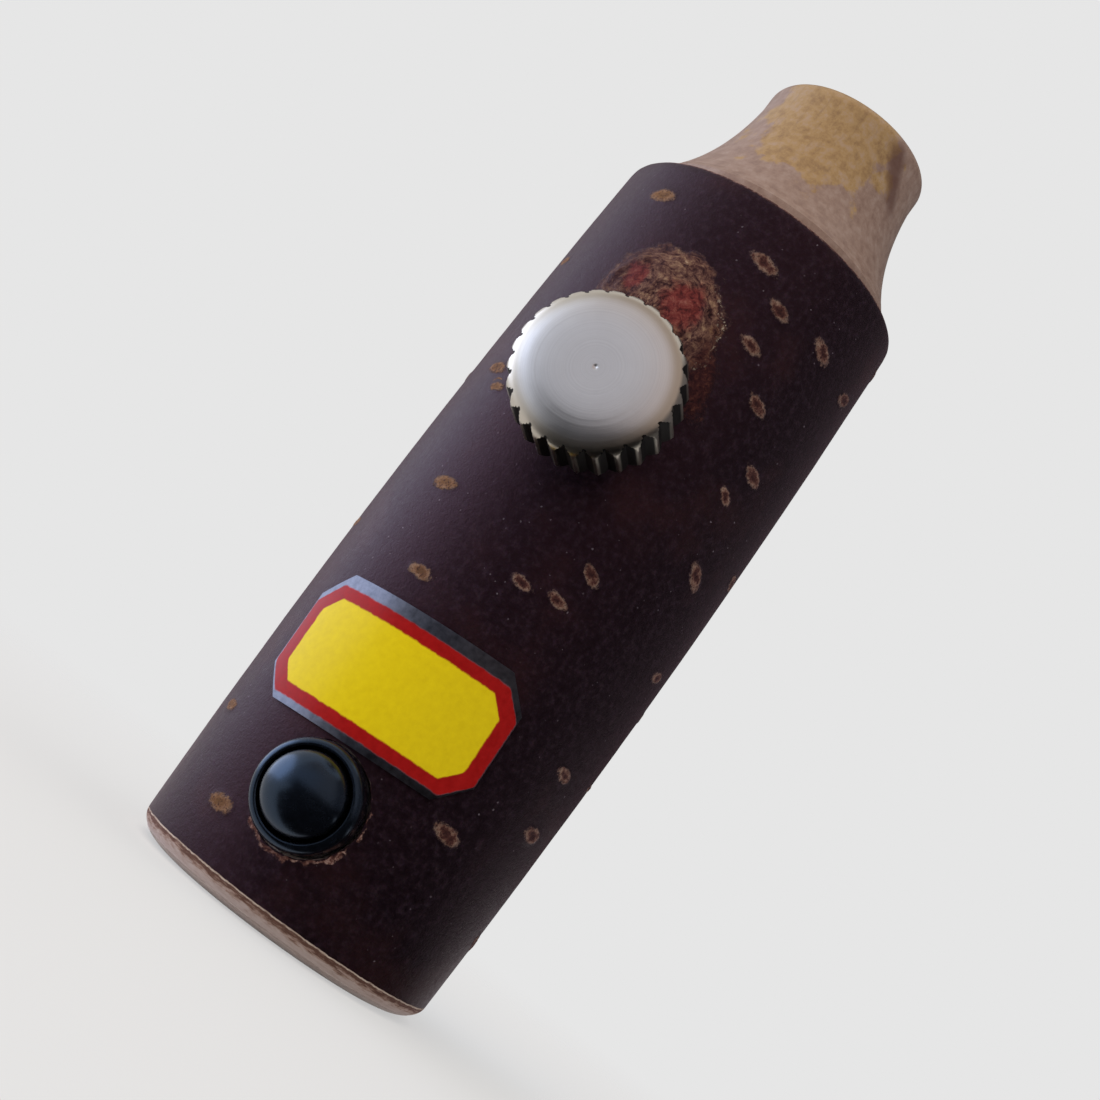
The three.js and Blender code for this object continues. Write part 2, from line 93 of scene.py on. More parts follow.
# one node with its settings and links; stops are a colour ramp's (place, colour) pairs
def addNode(tree, kind, inputs=(), stops=(), **settings):
    node = tree.nodes.new("ShaderNode" + kind)
    for key, value in settings.items():
        setattr(node, key, value)
    setInputs(node, inputs)
    for i, (place, colour) in enumerate(stops):
        element = node.color_ramp.elements[i] if i < 2 else node.color_ramp.elements.new(place)
        element.position = place
        element.color = linear(colour)
    return node


def startMaterial(name, constants):
    material = bpy.data.materials.new(name)
    material.use_nodes = True
    shader = material.node_tree.nodes["Principled BSDF"]
    setInputs(shader, constants)
    add = partial(addNode, material.node_tree)
    return material, add, shader, add("TexCoord").outputs["Object"]


# camera: the place, lens and roll that the view was matched with
viewSetup = {
    "lens": 53.32,  # mm
    "sensor": 36,
    "nearest": 5,
    "place": (29.8, -116.0, 12.65),
    "lookAt": 34.4,  # up the barrel's axis
    "roll": 36.4,  # degrees, the call leans to the right in the picture
}


def placeCamera(setup):
    camera = bpy.data.objects.new("camera", bpy.data.cameras.new("camera"))
    bpy.context.scene.collection.objects.link(camera)
    camera.data.lens = setup["lens"]
    camera.data.sensor_width = setup["sensor"]
    camera.data.clip_start = setup["nearest"] * mm
    camera.location = Vector(setup["place"]) * mm
    gaze = barrelAxis + upwards * setup["lookAt"] * mm - camera.location
    roll = Quaternion((0, 0, 1), math.radians(setup["roll"]))
    camera.rotation_mode = "QUATERNION"
    camera.rotation_quaternion = gaze.to_track_quat("-Z", "Y") @ roll
    bpy.context.scene.camera = camera


placeCamera(viewSetup)
bpy.context.scene.view_settings.view_transform = "Standard"
print("camera placed")


# a turned shape: an outline of (radius, height) points in mm, spun about a line
def turnOutline(outline, foot, along, steps, closed=True):
    shape = bmesh.new()
    across = Vector((1, 0, 0))
    points = [shape.verts.new(foot + (across * radius + along * height) * mm) for radius, height in outline]
    chain = points + points[:1] if closed else points
    edges = [shape.edges.new(pair) for pair in zip(chain, chain[1:])]
    bmesh.ops.spin(
        shape, geom=points + edges, cent=foot, axis=along, angle=2 * math.pi, steps=steps, use_merge=True
    )
    bmesh.ops.remove_doubles(shape, verts=shape.verts, dist=1e-7)
    bmesh.ops.recalc_face_normals(shape, faces=shape.faces)
    return shape


def arcPoints(centre, radii, fromAngle, toAngle, count):
    points = []
    for i in range(count + 1):
        angle = math.radians(fromAngle + (toAngle - fromAngle) * i / count)
        points.append((centre[0] + radii[0] * math.cos(angle), centre[1] + radii[1] * math.sin(angle)))
    return points


def smoothStep(low, high, value):
    t = min(max((value - low) / (high - low), 0), 1)
    return t * t * (3 - 2 * t)


def roundEdges(shape, edges, width, segments=2):
    bmesh.ops.bevel(
        shape, geom=edges, offset=width * mm, offset_type="OFFSET", affect="EDGES", segments=segments,
        profile=0.5, clamp_overlap=True, material=-1,
    )


def meshObject(shape, name):
    mesh = bpy.data.meshes.new(name)
    shape.to_mesh(mesh)
    shape.free()
    piece = bpy.data.objects.new(name, mesh)
    bpy.context.scene.collection.objects.link(piece)
    return piece


# noise summed over (waves to the mm, size) pairs
def waveSum(point, waves):
    return sum(size * noise.noise(point * density) for density, size in waves)


# depth of a turned piece's fine lines at a place along its outline
def lineDepth(place, setup):
    width = setup["lineWidth"]
    return sum(depth * math.exp(-(((place - at) / width) ** 2)) for at, depth in setup["turnedLines"])


# a rod across the barrel that cuts a hole; a ragged one tears the hole's edge
def crossRod(axis, radius, fromOut, toOut, ragged=0.0, waves=((0.9, 1), (2.7, 0.7))):
    outline = [(0, fromOut), (radius, fromOut), (radius, toOut), (0, toOut)]
    rod = turnOutline(outline, axis, outwards, 96, closed=False)
    for v in rod.verts:
        spoke = Vector((v.co.x - axis.x, 0, v.co.z - axis.z))
        tear = waveSum(spoke / mm, waves)
        if spoke.length > 1e-6:
            v.co += spoke.normalized() * ragged * max(tear, -0.1) * mm
    return meshObject(rod, "cutter")


def cutHoles(piece, cutters):
    for cutter in cutters:
        cut = piece.modifiers.new("hole", "BOOLEAN")
        cut.operation = "DIFFERENCE"
        cut.solver = "EXACT"
        cut.object = cutter
    bpy.context.view_layer.update()
    whole = piece.data
    drilled = piece.evaluated_get(bpy.context.evaluated_depsgraph_get())
    piece.data = bpy.data.meshes.new_from_object(drilled)
    piece.modifiers.clear()
    bpy.data.meshes.remove(whole)
    for cutter in cutters:
        bpy.data.meshes.remove(cutter.data)


# material, shading and body of a finished piece that stands for a node, whose own part is hidden
def finishPiece(piece, node, material, smoothAngle=35):
    mesh = piece.data
    mesh.name = piece.name
    mesh.materials.clear()
    mesh.materials.append(material)
    mesh.shade_smooth()
    mesh.set_sharp_from_angle(angle=math.radians(smoothAngle))
    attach(piece, bodyOf[node])
    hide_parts(node)
    print("piece made:", piece.name, len(mesh.polygons), "faces")


# bark: a smooth skin left on the branch, with pores, one knot scar and torn edges
barkSetup = {
    "footRadius": 12.5,  # mm
    "bellyRadius": 13.1,
    "topRadius": 12.4,
    "foot": 1.7,
    "length": 61,
    "thickness": 0.6,
    "footSeal": 0.08,  # the bark closes on the wood at the foot
    "rimRound": 2.7,
    "edgeRound": 0.5,
    "cell": 0.27,  # between the points of the skin
    "skinDrop": 0.05,  # the skin lies this much lower, to leave room for what stands proud
    "ripple": 0.015,
    "poreRise": 0.08,
    "scarRise": 0.2,
    "tornRise": 0.16,
    "screwHole": 4.3,
    "buttonHole": 4.05,
    "tear": 0.14,  # how far the button's hole is torn
    "holeSpan": (8, 16),  # out from the barrel's axis
    "innerRows": 8,
    "rippleWaves": [(0.22, 1), (0.9, 0.5)],  # waves to the mm, size
    "tornWaves": [(0.8, 0.8), (2.1, 0.5)],
    "tornFade": 0.7,
    "backPores": 34,
    "backTurns": (72, 288),  # degrees round from the knob
    "backHeights": (4, 61),
    "backLengths": (1.3, 2.4),
    "backSlants": (-20, 20),
    "poresApart": 4,
    "seed": 11,
}
# pores seen from the front: degrees round from the knob, height, length and slant
frontPores = [
    (-31, 59.3, 2.2, 4), (15, 58.2, 2.3, -8), (28, 56.1, 2.0, -14), (27, 52.7, 1.9, -10),
    (50, 56.3, 2.2, -22), (41, 49.7, 2.0, -15), (56, 45.8, 2.1, -12), (-28, 32.1, 2.1, 6),
    (-15, 25.8, 2.0, 0), (13, 29.1, 1.7, -8), (25, 29.6, 1.7, -12), (29, 32.4, 1.8, -30),
    (61, 37.5, 2.3, -35), (-52, 10.9, 1.7, 0), (-24, 5.3, 2.3, 2), (41, 12.5, 2.3, -8),
    (-44, 41.8, 2.0, 0), (-37, 40.3, 1.4, 0), (51, 43.2, 1.6, -30), (-64, 27.0, 1.6, 5),
    (66, 20.6, 1.9, -10), (-58, 52.4, 1.5, 0),
]
scarSetup = {
    "centre": (-1.3, 50.2),  # mm round from the knob's line, height
    "half": (5.3, 5.8),
    "tail": (4.6, 48.2, 1.2, 3.2),  # centre, then half width and half height
    "redSpots": [(0.3, 52.1, 1.9, 2.2), (-4.0, 52.4, 1.1, 1.4)],
    "lineGap": 0.42,  # between its growth lines
    "lineLength": 1.5,
    "edgeWaves": [(0.55, 0.12), (1.9, 0.06)],  # waves to the mm, size
    "patchWaves": [(0.9, 0.3)],
    "tailLean": 0.35,
}


def barkRadius(height, setup=barkSetup):
    u = min(max((height - setup["foot"]) / setup["length"], 0), 1)
    return (
        setup["footRadius"] * (1 - u) * (1 - 2 * u)
        + setup["bellyRadius"] * 4 * u * (1 - u)
        + setup["topRadius"] * u * (2 * u - 1)
    )


# the short way round from one turn to another
def turnBetween(first, second):
    return (second - first + math.pi) % (2 * math.pi) - math.pi


def allPores(setup):
    draw = random.Random(setup["seed"])
    pores = [(math.radians(turn), height, length, slant) for turn, height, length, slant in frontPores]
    while len(pores) < len(frontPores) + setup["backPores"]:
        turn = math.radians(draw.uniform(*setup["backTurns"]))
        turn = turn - 2 * math.pi if turn > math.pi else turn
        height = draw.uniform(*setup["backHeights"])
        gaps = [
            math.hypot(turnBetween(other[0], turn) * setup["bellyRadius"], height - other[1])
            for other in pores
        ]
        if min(gaps) > setup["poresApart"]:
            length = draw.uniform(*setup["backLengths"])
            slant = draw.uniform(*setup["backSlants"])
            pores.append((turn, height, length, slant))
    return pores


# place inside the nearest pore: along and across in half sizes, then 1 where that counts
def poreAt(turn, height, pores):
    nearest = (9, 9, 0)
    for poreTurn, poreHeight, length, slant in pores:
        rise = height - poreHeight
        run = turnBetween(poreTurn, turn) * barkRadius(height)
        if abs(rise) > length or abs(run) > 1.6 * length:
            continue
        cosine, sine = math.cos(math.radians(slant)), math.sin(math.radians(slant))
        along = (run * cosine + rise * sine) / (length / 2)
        across = (rise * cosine - run * sine) / (length * 0.25)
        if math.hypot(along, across) < math.hypot(nearest[0], nearest[1]):
            nearest = (along, across, 1 if abs(along) < 1.5 and abs(across) < 2.2 else 0)
    return nearest


# place in the knot scar: 1 at its heart, 0 at its edge and below 0 outside, then mm along its growth lines
def scarAt(run, height, setup=scarSetup):
    wobble = waveSum(Vector((run, height, 3.1)), setup["edgeWaves"])
    aside, above = run - setup["centre"][0], height - setup["centre"][1]
    inside = 1 - math.hypot(aside / setup["half"][0], above / setup["half"][1])
    return max(-1, inside + wobble), math.atan2(aside, above) * sum(setup["half"]) / 2


# how far inside the scar's red patches and its tail: 1 at the heart, 0 at the edge, below 0 outside
def rustAt(run, height, setup=scarSetup):
    wobble = waveSum(Vector((run, height, 7.7)), setup["patchWaves"])
    red = max(
        1 - math.hypot((run - spotRun) / wide, (height - spotHeight) / high)
        for spotRun, spotHeight, wide, high in setup["redSpots"]
    )
    tailRun, tailHeight, tailWide, tailHigh = setup["tail"]
    lean = run - setup["tailLean"] * (tailHeight - height)
    tail = 1 - math.hypot((lean - tailRun) / tailWide, (height - tailHeight) / tailHigh)
    return max(-1, red + wobble), max(-1, tail + wobble)


# about 1 at the torn edge of the button's hole, falling outwards; most on its right and below
def tornAt(run, height, setup=barkSetup):
    rise = height - buttonAxis.z / mm
    reach = math.hypot(run, rise)
    gap = reach - setup["buttonHole"]
    side = smoothStep(-0.5, 0.6, (0.7 * run - rise) / max(reach, 0.1))
    wobble = waveSum(Vector((run, height, 0)), setup["tornWaves"])
    return max(-1, 0.95 - gap / setup["tornFade"] + wobble - 1.4 * (1 - side))


def makeBark(setup, material):
    foot, top = setup["foot"], setup["foot"] + setup["length"]
    inner = setup["footRadius"] - setup["thickness"] - setup["footSeal"]
    rimCentre = (setup["footRadius"] - setup["rimRound"], foot)
    rimStart = -math.degrees(math.acos((inner - rimCentre[0]) / setup["rimRound"]))
    outline = arcPoints(rimCentre, (setup["rimRound"], foot), rimStart, 0, 6)
    edgeFoot = top - setup["edgeRound"]
    rows = round((edgeFoot - foot) / setup["cell"])
    for i in range(1, rows):
        height = foot + (edgeFoot - foot) * i / rows
        outline.append((barkRadius(height), height))
    edgeCentre = (barkRadius(top) - setup["edgeRound"], edgeFoot)
    outline += arcPoints(edgeCentre, (setup["edgeRound"], setup["edgeRound"]), 0, 90, 5)
    for i in range(setup["innerRows"]):
        height = top - setup["length"] * i / setup["innerRows"]
        outline.append((barkRadius(height) - setup["thickness"], height))
    columns = round(2 * math.pi * setup["bellyRadius"] / setup["cell"])
    shape = turnOutline(outline, barrelAxis, upwards, columns)
    poreLayer = shape.verts.layers.float_vector.new("pore")
    scarLayer = shape.verts.layers.float_vector.new("scar")
    rustLayer = shape.verts.layers.float_vector.new("rust")
    pores = allPores(setup)
    for v in shape.verts:
        spoke = Vector((v.co.x, v.co.y - axisY, 0))
        height = v.co.z / mm
        turn = math.atan2(spoke.x, -spoke.y)
        run = turn * barkRadius(height)
        if spoke.length / mm < barkRadius(height) - setup["thickness"] / 2 and foot < height < edgeFoot:
            continue
        point = v.co / mm
        pore = poreAt(turn, height, pores)
        scar, along = scarAt(run, height)
        red, tail = rustAt(run, height)
        torn = tornAt(run, height)
        v[poreLayer] = Vector(pore)
        v[scarLayer] = Vector((scar, along, 0))
        v[rustLayer] = Vector((red, tail, torn))
        inside = math.hypot(pore[0], pore[1])
        lips = smoothStep(1.25, 0.8, inside) - 0.7 * smoothStep(0.75, 0.2, inside)
        growth = noise.noise(Vector((scar * 9 + noise.noise(point * 0.7), along * 0.4, 5)))
        crust = 0.45 + 0.6 * growth + 0.6 * abs(noise.noise(point * 0.9)) + 0.5 * noise.noise(point * 2.3)
        relief = (
            setup["ripple"] * waveSum(point, setup["rippleWaves"])
            + setup["poreRise"] * lips
            + setup["scarRise"] * smoothStep(0, 0.2, scar) * crust * (1 - 0.6 * smoothStep(0, 0.4, red))
            + setup["scarRise"] * 0.4 * smoothStep(0, 0.4, tail) * crust
            + setup["tornRise"] * smoothStep(0.1, 0.9, torn) * (0.5 + noise.noise(point * 1.9))
            - setup["skinDrop"]
        )
        reach = min(spoke.length + relief * mm, setup["bellyRadius"] * mm)
        v.co += spoke.normalized() * (reach - spoke.length)
    bark = meshObject(shape, "barrel_bark_skin")
    cutHoles(
        bark,
        [
            crossRod(screwAxis, setup["screwHole"], *setup["holeSpan"]),
            crossRod(buttonAxis, setup["buttonHole"], *setup["holeSpan"], ragged=setup["tear"]),
        ],
    )
    finishPiece(bark, "barrel_bark", material)


# smooth branch bark under a satin lacquer: almost black, with a red-violet bloom where light grazes it
def barkMaterial():
    material, add, shader, place = startMaterial(
        "smooth bark, satin lacquer",
        {
            "IOR": 1.5, "Specular IOR Level": 0.31, "Specular Tint": linear("#ffacc6"),
            "Sheen Weight": 0.1, "Sheen Roughness": 0.4, "Sheen Tint": linear("#d892ac"),
        },
    )
    axes = add("SeparateXYZ", [place])
    height = add("Math", [axes.outputs["Z"], mm], operation="DIVIDE")
    cloud = add("TexNoise", {"Vector": place, "Scale": 1 / (7 * mm), "Detail": 5})
    grain = add("TexNoise", {"Vector": place, "Scale": 1 / (0.5 * mm), "Detail": 6, "Roughness": 0.72})
    fine = add("TexNoise", {"Vector": place, "Scale": 1 / (0.16 * mm), "Detail": 3})
    base = add("ValToRGB", [grain], stops=[(0.3, "#07060a"), (0.72, "#2a222b"), (0.5, "#120f15")])
    rust = add("MapRange", [cloud, 0.5, 0.72, 0, 0.4], interpolation_type="SMOOTHSTEP")
    tinted = add("Mix", [rust, base, linear("#331c19")], data_type="RGBA")
    # tiny cells of the bark, some bluer and some redder
    coat = add("Mix", [0.55, tinted, fine.outputs["Color"]], data_type="RGBA", blend_type="SOFT_LIGHT")
    # dust specks, drawn up to 0.15 mm wide so that they show
    stray = add("VectorMath", [grain.outputs["Color"], (0.3 * mm,) * 3, place], operation="MULTIPLY_ADD")
    for spacing, drawn, widest in ((0.55, 0.6, 0.17), (1.7, 0.7, 0.075)):
        cells = add("TexVoronoi", {"Vector": stray, "Scale": 1 / (spacing * mm)})
        draw = add("SeparateColor", [cells.outputs["Color"]])
        size = add("MapRange", [draw.outputs[0], drawn, 1, 0, widest])
        edge = add("Math", [size, 0.5], operation="MULTIPLY")
        speck = add("MapRange", [cells.outputs["Distance"], size, edge, 0, 0.5])
        pale = add("Math", [speck, draw.outputs[1]], operation="MULTIPLY")
        coat = add("Mix", [pale, coat, linear("#938a94")], data_type="RGBA")
    # pores: thin crumbly tan lips round a red-brown bed
    crust = add(
        "TexNoise",
        {"Vector": place, "Scale": 1 / (0.45 * mm), "Detail": 8, "Roughness": 0.8, "Distortion": 0.4},
    )
    pore = add("Attribute", attribute_name="pore")
    poreAxes = add("SeparateXYZ", [pore.outputs["Vector"]])
    poreFlat = add("CombineXYZ", [poreAxes.outputs[0], poreAxes.outputs[1]])
    poreReach = add("VectorMath", [poreFlat], operation="LENGTH")
    fray = add("MapRange", [crust, 0.3, 0.7, 0.34, -0.34])
    poreFrayed = add("Math", [poreReach, fray], operation="ADD")
    crumble = add("MapRange", [grain, 0.3, 0.7, -0.45, 0.45])
    poreCrumbled = add("Math", [poreFrayed, crumble], operation="ADD")
    poreColour = add(
        "ValToRGB", [poreCrumbled],
        stops=[(0.1, "#341e18"), (1.0, "#947a69"), (0.45, "#4f3027"), (0.74, "#78594a")],
    )
    # painted light: pores turn golder towards the left, the side that the window lights
    litSideShare = add("MapRange", [axes.outputs["X"], 2 * mm, -7 * mm, 0, 0.5])
    poreLitGold = add("Mix", [litSideShare, poreColour, linear("#96713f")], data_type="RGBA")
    porePits = add("MapRange", [fine, 0.55, 0.64, 0, 0.8])
    porePitted = add("Mix", [porePits, poreLitGold, linear("#22130f")], data_type="RGBA")
    poreEdge = add("MapRange", [poreFrayed, 1.15, 0.75, 0, 0.85], interpolation_type="SMOOTHSTEP")
    poreHere = add("Math", [poreAxes.outputs[2], 0.95], operation="GREATER_THAN")
    poreMask = add("Math", [poreEdge, poreHere], operation="MULTIPLY")
    # knot scar: corky brown crust in growth lines, with pale streaks, dark cracks and ochre patches
    scar = add("Attribute", attribute_name="scar")
    scarAxes = add("SeparateXYZ", [scar.outputs["Vector"]])
    linesApart = sum(scarSetup["half"]) / 2 / scarSetup["lineGap"]
    linePlace = add(
        "VectorMath", [scar.outputs["Vector"], (linesApart, 1 / scarSetup["lineLength"], 0)],
        operation="MULTIPLY",
    )
    lines = add(
        "TexNoise", {"Vector": linePlace, "Scale": 1, "Detail": 4, "Roughness": 0.65, "Distortion": 0.8}
    )
    cork = add("Mix", [0.5, crust, lines])
    corkColour = add(
        "ValToRGB", [cork],
        stops=[
            (0.4, "#170e0c"), (0.7, "#cdbaa0"), (0.46, "#422b25"), (0.52, "#66493d"), (0.58, "#82654f"),
            (0.64, "#a4876b"),
        ],
    )
    ochre = add("TexNoise", {"Vector": place, "Scale": 1 / (1.6 * mm), "Detail": 3})
    ochreMask = add("MapRange", [ochre, 0.52, 0.68, 0, 0.35], interpolation_type="SMOOTHSTEP")
    corky = add("Mix", [ochreMask, corkColour, linear("#8a6c34")], data_type="RGBA", blend_type="OVERLAY")
    marks = add("Attribute", attribute_name="rust")
    markAxes = add("SeparateXYZ", [marks.outputs["Vector"]])
    redFray = add("Math", [crust, 1.2, markAxes.outputs[0]], operation="MULTIPLY_ADD")
    redMask = add("MapRange", [redFray, 0.55, 1.05, 0, 0.88], interpolation_type="SMOOTHSTEP")
    redColour = add("ValToRGB", [cork], stops=[(0.4, "#421a15"), (0.66, "#93564a"), (0.52, "#752d27")])
    patched = add("Mix", [redMask, corky, redColour], data_type="RGBA")
    scarFray = add("Math", [crust, 0.25, scarAxes.outputs[0]], operation="MULTIPLY_ADD")
    scarEdge = add("MapRange", [scarFray, 0.1, 0.18, 0, 0.95])
    # the scar sinks into the bark on its left
    leftFade = add(
        "MapRange", [axes.outputs["X"], -6 * mm, -2.5 * mm, 0.45, 1], interpolation_type="SMOOTHSTEP"
    )
    scarMask = add("Math", [scarEdge, leftFade], operation="MULTIPLY")
    # a few pale flecks along the right of its rim
    rimBand = add("Math", [scarAxes.outputs[0], 0.03, 0.04], operation="COMPARE")
    rimRight = add("MapRange", [axes.outputs["X"], 1 * mm, 3 * mm, 0, 1])
    rimPart = add("Math", [rimBand, rimRight], operation="MULTIPLY")
    rimCrumb = add("Math", [fine, grain], operation="ADD")
    rimFleck = add("MapRange", [rimCrumb, 1.1, 1.18, 0, 0.75])
    fleckMask = add("Math", [rimPart, rimFleck], operation="MULTIPLY")
    # rusty tail below its right side
    tailFray = add("Math", [crust, 1.6, markAxes.outputs[1]], operation="MULTIPLY_ADD")
    tailMask = add("MapRange", [tailFray, 0.65, 1.3, 0, 0.8], interpolation_type="SMOOTHSTEP")
    tailColour = add("ValToRGB", [crust], stops=[(0.38, "#1c0d0b"), (0.68, "#66402f"), (0.52, "#3c1d17")])
    # the foot's cut through the bark: a thin pale line, a brown band, then greyish bast, all in fine layers
    ragged = add("TexNoise", {"Vector": place, "Scale": 1 / (0.8 * mm), "Detail": 5, "Roughness": 0.6})
    wander = add("MapRange", [ragged, 0.25, 0.75, -0.05, 0.05])
    cutHeight = add("Math", [height, wander], operation="ADD")
    layerPlace = add("Mapping", {"Vector": place, "Scale": (1, 1, 6)})
    layers = add("TexNoise", {"Vector": layerPlace, "Scale": 1 / (1.1 * mm), "Detail": 6, "Roughness": 0.7})
    layerShift = add("MapRange", [layers, 0.3, 0.7, -0.3, 0.3])
    layered = add("Math", [cutHeight, layerShift], operation="ADD")
    cutShare = add("Math", [layered, 2.0], operation="DIVIDE")
    cutColour = add(
        "ValToRGB", [cutShare],
        stops=[
            (0.25, "#d8c9c3"), (0.86, "#9b8172"), (0.46, "#c9b6ae"), (0.57, "#a88e80"), (0.66, "#6d5245"),
            (0.75, "#5f463b"),
        ],
    )
    paleLine = add("Math", [cutHeight, 1.57, 0.05], operation="COMPARE")
    chipped = add("MapRange", [ragged, 0.35, 0.6, 0.3, 0.9])
    lineShare = add("Math", [paleLine, chipped], operation="MULTIPLY")
    cutLined = add("Mix", [lineShare, cutColour, linear("#d2c2b2")], data_type="RGBA")
    cutMask = add("MapRange", [cutHeight, 1.64, 1.6, 0, 1])
    # bare bast at the torn hole and along the top edge
    tornFray = add("Math", [crust, 1.0, markAxes.outputs[2]], operation="MULTIPLY_ADD")
    tornMask = add("MapRange", [tornFray, 0.82, 1.05, 0, 0.9], interpolation_type="SMOOTHSTEP")
    topEdge = add("MapRange", [cutHeight, 62.4, 62.6, 0, 0.75])
    bare = add("Math", [tornMask, topEdge], operation="MAXIMUM")
    bareColour = add("ValToRGB", [crust], stops=[(0.36, "#24140f"), (0.62, "#c7a496"), (0.5, "#6b473c")])
    # every mark lies over the ones before it
    for mask, colour in (
        (poreMask, porePitted), (scarMask, patched), (fleckMask, linear("#b3a691")),
        (tailMask, tailColour), (cutMask, cutLined), (bare, bareColour),
    ):
        coat = add("Mix", [mask, coat, colour], data_type="RGBA")
    # lacquer lies smooth on the bark, and dry on crust, pores and cuts
    dry = scarMask
    for mask in (tailMask, bare, cutMask, poreMask):
        dry = add("Math", [dry, mask], operation="MAXIMUM")
    sheen = add("MapRange", [grain, 0.3, 0.7, 0.4, 0.56])
    rough = add("Mix", [dry, sheen, 0.75])
    crustBump = add("Math", [cork, dry], operation="MULTIPLY")
    crustDeep = add("Math", [crustBump, 5.0], operation="MULTIPLY")
    skin = add("Math", [grain, crustDeep], operation="ADD")
    pebbled = add("Math", [fine, 0.5, skin], operation="MULTIPLY_ADD")
    bump = add("Bump", {"Height": pebbled, "Strength": 0.45, "Distance": 0.1 * mm})
    setInputs(shader, {"Base Color": coat, "Roughness": rough, "Normal": bump})
    return material


makeBark(barkSetup, barkMaterial())


# wood core: the branch under the bark, bored through, with its foot rounded over
woodSetup = {
    "gap": 0.1,  # mm, to the bark
    "bore": 7.0,
    "boreChamfer": 0.8,
    "rimRow": 0.12,
    "layerRelief": 0.03,
    "layerWaves": (3.5, 4),  # to the mm outwards, and round
    "reliefFrom": 0.05,  # past the start of the foot's curve
    "screwHole": 4.1,
    "bushHole": 3.6,
    "holeSpan": (3, 16),  # out from the barrel's axis
    "spotFace": 4.0,
    "spotFaceDepth": 0.9,  # below the bark
    "seat": 10.5,  # the land that the mouthpiece's shoulder rests on
    "seatRise": 0.09,
    "columns": 240,
}


def makeWood(setup, bark, material):
    top = bark["foot"] + bark["length"]
    rimCentre = bark["footRadius"] - bark["rimRound"]
    skin = bark["thickness"] + setup["gap"]
    rimEnd = -math.degrees(math.acos((bark["footRadius"] - skin - rimCentre) / bark["rimRound"]))
    seatTop = top + setup["seatRise"]
    bore, footBore = setup["bore"], setup["bore"] + setup["boreChamfer"]
    outline = [(bore, seatTop), (bore, setup["boreChamfer"]), (footBore, 0)]
    flatRows = round((rimCentre - footBore) / setup["rimRow"])
    outline += [(footBore + (rimCentre - footBore) * i / flatRows, 0) for i in range(1, flatRows)]
    outline += arcPoints((rimCentre, bark["foot"]), (bark["rimRound"], bark["foot"]), -90, rimEnd, 20)
    for i in range(1, bark["innerRows"] + 1):
        height = bark["foot"] + bark["length"] * i / bark["innerRows"]
        outline.append((barkRadius(height) - skin, height))
    outline += [(setup["seat"], top), (setup["seat"], seatTop)]
    shape = turnOutline(outline, barrelAxis, upwards, setup["columns"])
    outWaves, roundWaves = setup["layerWaves"]
    for v in shape.verts:
        spoke = Vector((v.co.x, v.co.y - axisY, 0)) / mm
        if v.co.z / mm < bark["foot"] and spoke.length > rimCentre + setup["reliefFrom"]:
            turn = math.atan2(spoke.y, spoke.x)
            about = math.cos(turn) * roundWaves, math.sin(turn) * roundWaves
            layer = noise.noise(Vector((spoke.length * outWaves, *about)))
            v.co += spoke.normalized() * setup["layerRelief"] * (layer - 0.5) * mm
    wood = meshObject(shape, "barrel_wood_core")
    spotFoot = barkRadius(buttonAxis.z / mm) - bark["thickness"] - setup["spotFaceDepth"] - setup["gap"]
    cutHoles(
        wood,
        [
            crossRod(screwAxis, setup["screwHole"], *setup["holeSpan"]),
            crossRod(buttonAxis, setup["bushHole"], *setup["holeSpan"]),
            crossRod(buttonAxis, setup["spotFace"], spotFoot, setup["holeSpan"][1]),
        ],
    )
    finishPiece(wood, "barrel_wood", material)


# branch wood sawn across and sanded round: greyish pink, with thin growth layers and a brown band of bast
def woodMaterial():
    material, add, shader, place = startMaterial(
        "branch wood, sanded and oiled", {"IOR": 1.5, "Roughness": 0.55}
    )
    axes = add("SeparateXYZ", [place])
    depth = add("Math", [axes.outputs["Y"], axisY], operation="SUBTRACT")
    flat = add("CombineXYZ", [axes.outputs["X"], depth])
    reach = add("VectorMath", [flat], operation="LENGTH")
    wobble = add("TexNoise", {"Vector": place, "Scale": 1 / (5 * mm), "Detail": 4})
    sway = add("MapRange", [wobble, 0.25, 0.75, -0.5 * mm, 0.5 * mm])
    ringPlace = add("Math", [reach, sway], operation="ADD")
    # growth layers about 0.35 mm apart
    rings = add(
        "TexNoise", {"W": ringPlace, "Scale": 1 / (0.35 * mm), "Detail": 4, "Roughness": 0.7},
        noise_dimensions="1D",
    )
    flecks = add("TexNoise", {"Vector": place, "Scale": 1 / (0.3 * mm), "Detail": 4, "Roughness": 0.6})
    layers = add("Mix", [0.4, rings, flecks])
    colour = add(
        "ValToRGB", [layers],
        stops=[(0.3, "#a08a82"), (0.7, "#ded0c9"), (0.42, "#bca79f"), (0.54, "#ccbab2")],
    )
    inside = add("MapRange", [reach, 7.6 * mm, 9.4 * mm, 1, 0], interpolation_type="SMOOTHSTEP")
    heart = add("Mix", [inside, colour, linear("#8a6a4c")], data_type="RGBA")
    bump = add("Bump", {"Height": layers, "Strength": 0.5, "Distance": 0.1 * mm})
    setInputs(shader, {"Base Color": heart, "Normal": bump})
    return material


makeWood(woodSetup, barkSetup, woodMaterial())


